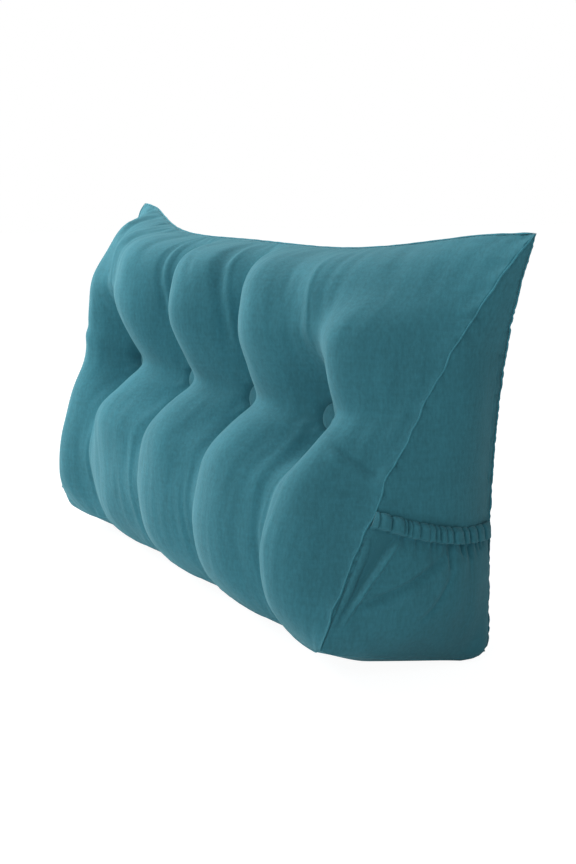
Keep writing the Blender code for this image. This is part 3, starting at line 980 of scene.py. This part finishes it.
def cushion_grids(sizes):
    """Point grids of the five panels, and the vertex numbers that join them at the seams."""
    along, lobe, across = front_columns()
    share = np.linspace(0.0, 1.0, FRONT_ROWS + 1)
    depth = crowded(BASE_ROWS, BASE_CROWDING)
    front = front_surface(along, lobe, across, share)
    front, front_height = front_details(front, along, share, sizes)
    for side in (-1, 1):
        front = wander(front, (1.0 - side * along)[:, None] * SEAM_HALF_SPAN, side)
    base = base_surface(front[:, -1], along, depth)
    back = back_surface(along, share)
    reach = seam_reach(back, back[0], back[-1], back[:, 0], back[:, -1])
    run = (along[:, None] * SEAM_HALF_SPAN, share[None, :] * TOP_SEAM_HEIGHT)
    back, back_height = panel_details(back, (0.0, 1.0, 0.2), reach, run, sizes, 21)
    ends, end_heights = [], []
    for side, end, seed in ((-1, 0, 31), (1, -1, 33)):
        panel = end_surface(side, depth[:, None], share[None, :])
        panel[0], panel[-1] = front[end, ::-1], back[end]
        panel[:, 0], panel[:, -1] = base[end], front[end, 0]
        reach = seam_reach(panel, panel[0], panel[-1], panel[:, 0])
        run = (panel[..., 1], panel[..., 2])
        shaped, height = panel_details(panel, (side, 0.0, 0.0), reach, run, sizes, seed)
        shaped = wander(shaped, shaped[..., 1] - shaped[:1, :, 1], side)
        panel[1:-1, 1:-1] = shaped[1:-1, 1:-1]
        ends.append(soften_corners(stuff_ear(panel), side))
        end_heights.append(height)
    front, back = stuff_ear(front), stuff_ear(back)
    for side in (-1, 1):
        front, base, back = (soften_corners(panel, side) for panel in (front, base, back))
    return front, base, back, ends, (front_height, back_height, end_heights)


def build_cushion(sizes, finish):
    """The filled cushion as one closed skin of five panels that share their seam points."""
    front, base, back, ends, (front_height, back_height, end_heights) = cushion_grids(sizes)
    columns, rows = front.shape[0], front.shape[1]
    count = 0

    def number(shape):
        nonlocal count
        grid = np.arange(count, count + shape[0] * shape[1]).reshape(shape)
        count += grid.size
        return grid

    front_ids = number((columns, rows))
    base_new = number((columns, BASE_ROWS))
    base_ids = np.concatenate([front_ids[:, -1:], base_new], axis=1)
    back_new = number((columns, rows - 2))
    back_ids = np.concatenate([base_ids[:, -1:], back_new, front_ids[:, :1]], axis=1)
    points = [front.reshape(-1, 3), base[:, 1:].reshape(-1, 3), back[:, 1:-1].reshape(-1, 3)]
    heights = [front_height.ravel(), np.zeros(base_new.size), back_height[:, 1:-1].ravel()]
    faces = [quads(front_ids), quads(base_ids), quads(back_ids)]
    for end, panel, height in zip((0, -1), ends, end_heights):
        inner = number((BASE_ROWS - 1, rows - 2))
        ids = np.empty((BASE_ROWS + 1, rows), int)
        ids[0], ids[-1] = front_ids[end, ::-1], back_ids[end]
        ids[:, 0], ids[:, -1] = base_ids[end], front_ids[end, 0]
        ids[1:-1, 1:-1] = inner
        points.append(panel[1:-1, 1:-1].reshape(-1, 3))
        heights.append(height[1:-1, 1:-1].ravel())
        faces.append(quads(ids))
    # the relief attribute paints shade into creases and button recesses and light onto ridges in the
    # pile's colour
    cushion = make_object(
        "cushion_cover", np.concatenate(points), np.concatenate(faces),
        {"relief": np.concatenate(heights) * RELIEF_UNIT},
    )
    cushion.data.materials.append(pile_material("cushion_pile", finish, 1.0))
    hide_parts("wedge_cushion")
    return cushion


def welt(path, outward, radius, seed):
    """A thin sewn ridge along a path: a circle carried along it, which swells and wanders
    a little as hand-fed cloth does, closed with a point at each end."""
    tangent = np.gradient(path, axis=0)
    tangent /= np.linalg.norm(tangent, axis=-1, keepdims=True)
    lift = outward - (outward * tangent).sum(axis=-1, keepdims=True) * tangent
    lift /= np.linalg.norm(lift, axis=-1, keepdims=True)
    side = np.cross(tangent, lift)
    run = path_length(path)
    swell = 1.0 + RIDGE_SWELL * ripples(run / RIDGE_WAVE, 0.0, seed)
    tip = smoothstep(0.0, RIDGE_TIP, np.minimum(run, run[-1] - run))
    swell *= mix(TIP_SHARE, 1.0, tip)
    sway = RIDGE_SWAY * radius * ripples(run / SWAY_WAVE, 0.0, seed + 1)
    turn = np.linspace(0.0, 2.0 * np.pi, WELT_SIDES, endpoint=False)[None, :, None]
    centre = path + lift * (RIDGE_LIFT * radius) + side * sway[:, None]
    ring = lift[:, None] * np.cos(turn) + side[:, None] * np.sin(turn)
    return capped(centre[:, None] + ring * (radius * swell)[:, None, None], path[0], path[-1])


def build_seams(sizes, finish):
    """The ridges along the cushion's seams, as one piece."""
    front, base, back, ends, _ = cushion_grids(sizes)
    paths = [front[0], front[-1], back[0], back[-1], front[:, 0], front[:, -1], base[:, -1]]
    paths += [base[0], base[-1]]
    points, faces, count = [], [], 0
    for number, path in enumerate(paths):
        radius = sizes.welt_radius * (BASE_RIDGE if number in BASE_PATHS else 1.0)
        ring, joined = welt(path, path - np.array(RIDGE_CENTRE), radius, 60 + 2 * number)
        points.append(ring)
        faces.append(joined + count)
        count += len(ring)
    seams = make_object("seam_ridges", np.concatenate(points), np.concatenate(faces))
    # painted highlight: the ridges' pile is painted lighter than the cushion's
    seams.data.materials.append(pile_material("seam_pile_painted_highlight", finish, SEAM_HIGHLIGHT_TONE))
    return seams


def build_buttons(sizes, finish):
    """The covered buttons: turned domes whose cloth is gathered over the edge.

    The profile runs from the back's centre out, round the edge and over the dome, and the
    edge is fluted by a sine of the turn that fades towards the middle.
    """
    floors, out = button_frames()
    up = np.cross([1.0, 0.0, 0.0], out)
    angle = np.linspace(0.0, np.pi / 2.0, DOME_STEPS + 1)
    side_height = sizes.thickness - sizes.dome
    share = np.concatenate([column(BUTTON_SIDE, 0), np.cos(angle)])
    heights = np.concatenate([column(BUTTON_SIDE, 1), side_height + sizes.dome * np.sin(angle)])
    turn = np.linspace(0.0, 2.0 * np.pi, BUTTON_SIDES, endpoint=False)
    ring = np.cos(turn)[:, None] * np.array([1.0, 0.0, 0.0]) + np.sin(turn)[:, None] * up
    edge = smoothstep(FLUTE_START, 1.0, share)[:, None]
    cover = pile_material("button_pile", finish, BUTTON_TONE)
    for number, (node, floor) in enumerate(zip(BUTTONS, floors)):
        flute = 1.0 + np.sin(FLUTES * turn + 1.5 * np.sin(3.0 * turn + number))
        radius = BUTTON_RADIUS * share[:, None] * (1.0 - FLUTE_DEPTH * edge * flute)
        points = floor + radius[..., None] * ring + heights[:, None, None] * out
        button = make_object(f"covered_{node}", *capped(points[1:-1], points[0, 0], points[-1, 0]))
        button.data.materials.append(cover)
        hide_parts(node)


def pocket_panel(across, up):
    """Across and share on the end panel under a place of the pocket, both 0 to 1."""
    panel_across = mix(POCKET_INSET, 1.0 - POCKET_INSET, across)
    mouth = mix(MOUTH_HEIGHT_FRONT, MOUTH_HEIGHT_BACK, panel_across)
    mouth = mouth - MOUTH_SAG * np.sin(np.pi * panel_across)
    foot = base_edge(1, panel_across)[1]
    top_share = (mouth - foot) / (POCKET_EAR_HEIGHT - foot)
    return panel_across, mix(POCKET_FOOT, 1.0, up) * top_share


def in_hem(up):
    """1 in the pocket's hem, 0 below it and a soft S between them."""
    return smoothstep(1.0 - HEM_SHARE - HEM_STEP, 1.0 - HEM_SHARE + HEM_STEP, up)


def pleating(across, up, sizes):
    """Gathers of the hem and their tails below it.

    The hem stands up all along and drops at each pleat by a narrow bell curve with round
    shoulders, a wider one. Below it each pleat runs on as a bell curve that widens and fades.
    """
    below = np.maximum(1.0 - HEM_SHARE - up, 0.0) * MOUTH_HEIGHT
    lean = PLEAT_LEAN * np.minimum((1.0 - up) / HEM_SHARE, 1.0)
    drop = np.zeros(np.broadcast(across, up).shape)
    tail = np.zeros_like(drop)
    for place, depth, run_on in PLEATS:
        aside = across - place - lean
        slit = 0.7 * np.exp(-((aside / PLEAT_WIDTH) ** 2))
        slit = slit + 0.3 * np.exp(-((aside / RUFFLE_WIDTH) ** 2))
        drop = np.maximum(drop, depth * slit)
        fade = np.exp(-((below / (TAIL_LENGTH * run_on)) ** 2))
        width = TAIL_WIDTH + TAIL_SPREAD * below
        tail += run_on * fade * np.exp(-((aside * MOUTH_WIDTH / width) ** 2))
    body = -HEM_CREASE * np.exp(-((below / CREASE_LENGTH) ** 2)) - TAIL_DEPTH * tail
    return mix(body, sizes.pleat * (1.0 - drop), in_hem(up))


def pocket_room(across, up):
    """Room between the end panel and the pocket's inner face."""
    side = np.sin(np.pi * across) ** 0.5
    mouth = mix(MOUTH_FULLNESS, BELLY_FULLNESS, np.sin(np.pi * up))
    belly = BELLY_FULLNESS * np.sin(np.pi * np.minimum(up, 0.5)) ** 0.8
    return POCKET_EDGE_GAP + np.where(up < 0.5, belly, mouth) * side


def pocket_surfaces(sizes):
    """Points of the pocket's inner and outer face, and the relief that paints shade and light
    into its pile: painted shade in the tuck's wedge and creases, painted light on ridges.

    Over the end panel, the inner face stands off by the pocket's room and its folds, and
    the outer face by the cloth's thickness and the gathers on top.
    """
    across = crowded(POCKET_COLUMNS, POCKET_CROWDING)[:, None]
    up = np.linspace(0.0, 1.0, POCKET_ROWS + 1)[None, :]
    panel_across, share = pocket_panel(across, up)
    under = soften_corners(end_surface(1, panel_across, share), 1)
    y, z = under[..., 1], under[..., 2]
    edge = np.minimum(np.minimum(across, 1.0 - across) * POCKET_WIDTH, up * POCKET_HEIGHT)
    inner_edge = smoothstep(0.0, EDGE_FADE, edge)
    height = step(y, z, *POCKET_TUCK)
    for y_a, z_a, y_b, z_b, bow, width, tall in POCKET_FOLDS:
        height += fold(y, z, (y_a, z_a), (y_b, z_b), bow, width, tall)
    height *= smoothstep(0.0, FOLD_FADE, 1.0 - HEM_SHARE + FOLD_END - up)
    # painted shade and light: the tuck and folds darken the pile in their hollows and lighten it on
    # their ridges
    painted_fold_shade = height * inner_edge * POCKET_PAINTED_SHADE
    height += POCKET_SWELL * ripples(y / POCKET_WAVES[0], z / POCKET_WAVES[1], 51)
    gathers = pleating(across, up, sizes) * smoothstep(0.0, GATHER_FADE, edge + GATHER_START)
    height = height * inner_edge + gathers
    hem = in_hem(up)
    pressed = mix(EDGE_CLOTH, 1.0, smoothstep(0.0, GATHER_FADE, edge))
    thickness = mix(sizes.cloth, sizes.hem, hem) * pressed
    room = pocket_room(across, up)
    inside = under[..., 0] + room + np.maximum(height - hem * gathers, POCKET_EDGE_GAP - room)
    stitch = HEM_STITCH * np.exp(-(((up - 1.0 + HEM_SHARE) / HEM_STEP) ** 2))
    lip = smoothstep(1.0 - LIP_SHARE * HEM_SHARE, 1.0, up) ** 2
    outside = inside + thickness + hem * gathers - stitch - LIP * (thickness + gathers) * lip
    scallop = SCALLOP * np.clip(height / sizes.pleat, 0.0, 1.0) * smoothstep(SCALLOP_START, 1.0, up)
    inner = np.stack([inside, y, z + scallop], axis=-1)
    outer = np.stack([outside, y, z + scallop], axis=-1)
    return inner, outer, painted_fold_shade


def build_pocket(sizes, finish):
    """The side pocket: one sheet sewn on at three sides, its mouth gathered in a hem.

    Its two faces meet in a rim at the mouth, and walls close it at its sides and its foot.
    """
    inner, outer, painted_fold_shade = pocket_surfaces(sizes)
    rim = (inner + outer)[:, -1:] / 2.0 + np.array([0.0, 0.0, RIM_RISE])
    sheet = np.concatenate([outer, rim, inner[:, ::-1]], axis=1)
    ids = np.arange(sheet.shape[0] * sheet.shape[1]).reshape(sheet.shape[:2])
    rows = outer.shape[1]
    outer_ids, rim_ids, inner_ids = ids[:, :rows], ids[:, rows], ids[:, :rows:-1]
    faces = [quads(np.concatenate([ids, ids[:, :1]], axis=1))]
    for end in (0, -1):
        faces.append(quads(np.stack([outer_ids[end], inner_ids[end]])))
        tip = inner_ids[end, -1]
        faces.append(np.array([[outer_ids[end, -1], rim_ids[end], tip, tip]]))
    shade = np.concatenate([painted_fold_shade, painted_fold_shade[:, -1:], painted_fold_shade[:, ::-1]], axis=1)
    # the relief attribute paints shade into the tuck's wedge and creases and light onto ridges in the
    # pile's colour
    pocket = make_object(
        "gathered_pocket", sheet.reshape(-1, 3), np.concatenate(faces),
        {"relief": shade.ravel() * RELIEF_UNIT},
    )
    pocket.data.materials.append(pile_material("pocket_pile", finish, 1.0))
    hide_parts("side_pocket")
    return pocket


def new_group(name, inputs, outputs):
    """An empty shader node group with named float inputs and named outputs."""
    group = bpy.data.node_groups.new(name, "ShaderNodeTree")
    for label, default in inputs:
        socket = group.interface.new_socket(label, in_out="INPUT", socket_type="NodeSocketFloat")
        socket.default_value = default
    for label, kind in outputs:
        group.interface.new_socket(label, in_out="OUTPUT", socket_type=kind)
    return group, group.nodes.new("NodeGroupInput"), group.nodes.new("NodeGroupOutput")


def math_node(tree, operation, first, second):
    """A Math node fed by sockets or plain numbers."""
    node = tree.nodes.new("ShaderNodeMath")
    node.operation = operation
    for socket, value in zip(node.inputs, (first, second)):
        if isinstance(value, (int, float)):
            socket.default_value = value
        else:
            tree.links.new(value, socket)
    return node.outputs[0]


def blend_nodes(tree, first, second, share):
    """A share of the first socket added to the rest of the second."""
    return math_node(tree, "ADD", math_node(tree, "MULTIPLY", first, share),
                     math_node(tree, "MULTIPLY", second, 1.0 - share))


def noise_node(tree, scale, detail, roughness, stretch):
    """A Noise node on Object coordinates, which are squeezed by stretch first."""
    mapping = tree.nodes.new("ShaderNodeMapping")
    mapping.inputs["Scale"].default_value = stretch
    place = tree.nodes.new("ShaderNodeTexCoord").outputs["Object"]
    tree.links.new(place, mapping.inputs["Vector"])
    node = tree.nodes.new("ShaderNodeTexNoise")
    node.inputs["Detail"].default_value = detail
    node.inputs["Roughness"].default_value = roughness
    tree.links.new(mapping.outputs["Vector"], node.inputs["Vector"])
    tree.links.new(scale, node.inputs["Scale"])
    return node.outputs["Fac"]


def pile_group():
    """Node group of the short pile: its tufts' height, its flecks and its lines of thread."""
    if "short_pile" in bpy.data.node_groups:
        return bpy.data.node_groups["short_pile"]
    outputs = (("Height", "NodeSocketFloat"), ("Fleck", "NodeSocketFloat"),
               ("Thread", "NodeSocketFloat"))
    group, given, result = new_group("short_pile", (("Scale", 900.0),), outputs)
    third = math_node(group, "MULTIPLY", given.outputs["Scale"], 0.33)
    fine = noise_node(group, given.outputs["Scale"], 3.0, 0.65, (1.0, 1.0, 1.0))
    tufts = noise_node(group, third, 2.0, 0.55, (1.0, 1.0, 0.55))
    down = noise_node(group, third, 2.0, 0.6, (1.0, 1.0, 0.07))
    over = noise_node(group, third, 2.0, 0.6, (0.09, 0.09, 1.0))
    group.links.new(blend_nodes(group, fine, tufts, 0.65), result.inputs["Height"])
    group.links.new(tufts, result.inputs["Fleck"])
    group.links.new(blend_nodes(group, down, over, 0.6), result.inputs["Thread"])
    return group


def nap_group():
    """Node group of the nap: soft patches and brushed streaks where the pile leans."""
    if "brushed_nap" in bpy.data.node_groups:
        return bpy.data.node_groups["brushed_nap"]
    group, given, result = new_group(
        "brushed_nap", (("Patch", 9.0), ("Streak", 60.0)), (("Lean", "NodeSocketFloat"),)
    )
    patch = noise_node(group, given.outputs["Patch"], 2.0, 0.5, (1.0, 1.0, 0.6))
    streak = noise_node(group, given.outputs["Streak"], 2.0, 0.6, (1.0, 0.6, 0.12))
    group.links.new(blend_nodes(group, patch, streak, 0.6), result.inputs["Lean"])
    return group


def pile_material(name, finish, tone):
    """Short pile cloth: its colour shifts with the nap and the tufts, and with the cloth's relief as
    painted shade in creases and painted light on ridges.
    """
    material = bpy.data.materials.new(name)
    material.use_nodes = True
    tree = material.node_tree
    shader = tree.nodes["Principled BSDF"]
    shader.inputs["Roughness"].default_value = finish.roughness
    shader.inputs["Specular IOR Level"].default_value = SPECULAR
    shader.inputs["Sheen Weight"].default_value = finish.sheen
    shader.inputs["Sheen Roughness"].default_value = SHEEN_ROUGHNESS
    shader.inputs["Sheen Tint"].default_value = SHEEN_TINT
    pile = tree.nodes.new("ShaderNodeGroup")
    pile.node_tree = pile_group()
    nap = tree.nodes.new("ShaderNodeGroup")
    nap.node_tree = nap_group()
    # painted shade and light: the relief darkens the pile in creases and by the buttons and lightens
    # it on ridges
    relief_painted_shade = tree.nodes.new("ShaderNodeAttribute")
    relief_painted_shade.attribute_name = "relief"
    ramp = tree.nodes.new("ShaderNodeValToRGB")
    colour = np.array(finish.colour) * tone
    for stop, (place, gain) in zip(ramp.color_ramp.elements, NAP_SHADES):
        stop.position = place
        stop.color = (*(colour * gain), 1.0)
    shade = nap.outputs["Lean"]
    for socket, middle, share in (
        (pile.outputs["Fleck"], 0.5, FLECK_SHADE),
        (pile.outputs["Thread"], 0.5, THREAD_SHADE),
        (relief_painted_shade.outputs["Fac"], 0.0, RELIEF_PAINTED_SHADE),
    ):
        part = math_node(tree, "SUBTRACT", socket, middle)
        shade = math_node(tree, "ADD", shade, math_node(tree, "MULTIPLY", part, share))
    tree.links.new(shade, ramp.inputs["Fac"])
    tree.links.new(ramp.outputs["Color"], shader.inputs["Base Color"])
    bump = tree.nodes.new("ShaderNodeBump")
    bump.inputs["Strength"].default_value = PILE_BUMP
    bump.inputs["Distance"].default_value = finish.pile
    tree.links.new(pile.outputs["Height"], bump.inputs["Height"])
    soft = tree.nodes.new("ShaderNodeBump")
    soft.inputs["Strength"].default_value = NAP_BUMP
    soft.inputs["Distance"].default_value = NAP_RISE
    tree.links.new(nap.outputs["Lean"], soft.inputs["Height"])
    tree.links.new(soft.outputs["Normal"], bump.inputs["Normal"])
    tree.links.new(bump.outputs["Normal"], shader.inputs["Normal"])
    return material


def build_floor(look):
    """A wide pale floor, of which the camera sees a share as plain white."""
    mesh = bpy.data.meshes.new("studio_floor")
    corners = [(x * FLOOR_HALF, y * FLOOR_HALF, 0.0) for x, y in ((-1, -1), (1, -1), (1, 1), (-1, 1))]
    mesh.from_pydata(corners, [], [(0, 1, 2, 3)])
    floor = bpy.data.objects.new("studio_floor", mesh)
    bpy.context.scene.collection.objects.link(floor)
    material = bpy.data.materials.new("studio_floor")
    material.use_nodes = True
    shader = material.node_tree.nodes["Principled BSDF"]
    shader.inputs["Base Color"].default_value = (*look.floor, 1.0)
    shader.inputs["Roughness"].default_value = FLOOR_ROUGHNESS
    shader.inputs["Specular IOR Level"].default_value = 0.0
    tree = material.node_tree
    glow = tree.nodes.new("ShaderNodeEmission")
    glow.inputs["Strength"].default_value = GLOW_STRENGTH
    seen = tree.nodes.new("ShaderNodeLightPath").outputs["Is Camera Ray"]
    choice = tree.nodes.new("ShaderNodeMixShader")
    tree.links.new(math_node(tree, "MULTIPLY", seen, FLOOR_GLOW), choice.inputs["Fac"])
    tree.links.new(shader.outputs["BSDF"], choice.inputs[1])
    tree.links.new(glow.outputs["Emission"], choice.inputs[2])
    tree.links.new(choice.outputs["Shader"], tree.nodes["Material Output"].inputs["Surface"])
    mesh.materials.append(material)


def aim(item, place, target):
    """Puts an object at a place and turns its -Z axis to a target."""
    item.location = place
    span = np.subtract(target, place)
    tilt = math.atan2(math.hypot(span[0], span[1]), -span[2])
    item.rotation_euler = (tilt, 0.0, math.atan2(span[1], span[0]) - math.pi / 2.0)


def build_world(look):
    """Pale surroundings: white to the camera, weaker and cooler as light."""
    world = bpy.data.worlds.new("studio")
    world.use_nodes = True
    tree = world.node_tree
    background = tree.nodes["Background"]
    background.inputs["Color"].default_value = SKY_COLOUR
    background.inputs["Strength"].default_value = look.sky
    backdrop = tree.nodes.new("ShaderNodeBackground")
    backdrop.inputs["Color"].default_value = (1.0, 1.0, 1.0, 1.0)
    seen = tree.nodes.new("ShaderNodeLightPath")
    choice = tree.nodes.new("ShaderNodeMixShader")
    tree.links.new(seen.outputs["Is Camera Ray"], choice.inputs["Fac"])
    tree.links.new(background.outputs["Background"], choice.inputs[1])
    tree.links.new(backdrop.outputs["Background"], choice.inputs[2])
    tree.links.new(choice.outputs["Shader"], tree.nodes["World Output"].inputs["Surface"])
    bpy.context.scene.world = world


def build_lights(look):
    """A wide soft disk of light from the upper left and a weak fill from the right."""
    key = bpy.data.lights.new("key_light", "AREA")
    key.shape = "DISK"
    key.size = KEY_WIDTH
    key.energy = look.key
    fill = bpy.data.lights.new("fill_light", "SUN")
    fill.energy = look.fill
    fill.angle = math.radians(FILL_SPREAD)
    for lamp, place in ((key, KEY_FROM), (fill, FILL_FROM)):
        light = bpy.data.objects.new(lamp.name, lamp)
        bpy.context.scene.collection.objects.link(light)
        aim(light, place, LIGHT_TARGET)


def build_camera():
    """The camera at the photograph's viewing angle."""
    camera = bpy.data.cameras.new("camera")
    camera.sensor_width = SENSOR
    camera.lens = FOCAL_PIXELS * SENSOR / IMAGE_HEIGHT
    item = bpy.data.objects.new("camera", camera)
    item.location = CAMERA_PLACE
    item.rotation_euler = (math.radians(90.0 - CAMERA_PITCH), 0.0, math.radians(CAMERA_AZIMUTH))
    bpy.context.scene.collection.objects.link(item)
    bpy.context.scene.camera = item


def build_stage(look):
    """Floor, light, pale surroundings and the camera."""
    build_floor(look)
    build_world(look)
    build_lights(look)
    build_camera()
    bpy.context.scene.view_settings.view_transform = "Standard"


class WEDGE_OT_stage(bpy.types.Operator):
    """Make the floor, the light and the camera."""

    bl_idname = "wedge_pillow.make_stage"
    bl_label = "Make Stage"

    def execute(self, context):
        build_stage(context.scene.wedge_stage)
        return {"FINISHED"}


class WEDGE_OT_cushion(bpy.types.Operator):
    """Make the filled and tufted cushion."""

    bl_idname = "wedge_pillow.make_cushion"
    bl_label = "Make Cushion"

    def execute(self, context):
        build_cushion(context.scene.wedge_cushion, context.scene.wedge_finish)
        return {"FINISHED"}


class WEDGE_OT_seams(bpy.types.Operator):
    """Make the ridges along the seams."""

    bl_idname = "wedge_pillow.make_seams"
    bl_label = "Make Seams"

    def execute(self, context):
        build_seams(context.scene.wedge_cushion, context.scene.wedge_finish)
        return {"FINISHED"}


class WEDGE_OT_buttons(bpy.types.Operator):
    """Make the covered buttons."""

    bl_idname = "wedge_pillow.make_buttons"
    bl_label = "Make Buttons"

    def execute(self, context):
        build_buttons(context.scene.wedge_buttons, context.scene.wedge_finish)
        return {"FINISHED"}


class WEDGE_OT_pocket(bpy.types.Operator):
    """Make the gathered side pocket."""

    bl_idname = "wedge_pillow.make_pocket"
    bl_label = "Make Pocket"

    def execute(self, context):
        build_pocket(context.scene.wedge_pocket, context.scene.wedge_finish)
        return {"FINISHED"}


OPERATORS = (WEDGE_OT_cushion, WEDGE_OT_seams, WEDGE_OT_buttons, WEDGE_OT_pocket, WEDGE_OT_stage)
GROUPS = {
    "wedge_cushion": CushionSizes,
    "wedge_buttons": ButtonSizes,
    "wedge_pocket": PocketSizes,
    "wedge_finish": ClothFinish,
    "wedge_stage": StageLook,
}


class WEDGE_PT_panel(bpy.types.Panel):
    """Lists the operators that make the pillow."""

    bl_idname = "WEDGE_PT_panel"
    bl_label = "Wedge Pillow"
    bl_space_type = "VIEW_3D"
    bl_region_type = "UI"
    bl_category = "Wedge Pillow"

    def draw(self, context):
        for operator in OPERATORS:
            self.layout.operator(operator.bl_idname)


CLASSES = (*GROUPS.values(), *OPERATORS, WEDGE_PT_panel)


def register():
    """Adds the classes and the settings that they keep in the scene."""
    for item in CLASSES:
        bpy.utils.register_class(item)
    for name, group in GROUPS.items():
        setattr(bpy.types.Scene, name, bpy.props.PointerProperty(type=group))


def unregister():
    """Takes the settings and the classes away again."""
    for name in GROUPS:
        delattr(bpy.types.Scene, name)
    for item in reversed(CLASSES):
        bpy.utils.unregister_class(item)


def main():
    """Makes every piece in order."""
    register()
    bpy.ops.wedge_pillow.make_cushion()
    bpy.ops.wedge_pillow.make_seams()
    bpy.ops.wedge_pillow.make_buttons()
    bpy.ops.wedge_pillow.make_pocket()
    bpy.ops.wedge_pillow.make_stage()


if __name__ == "__main__":
    main()
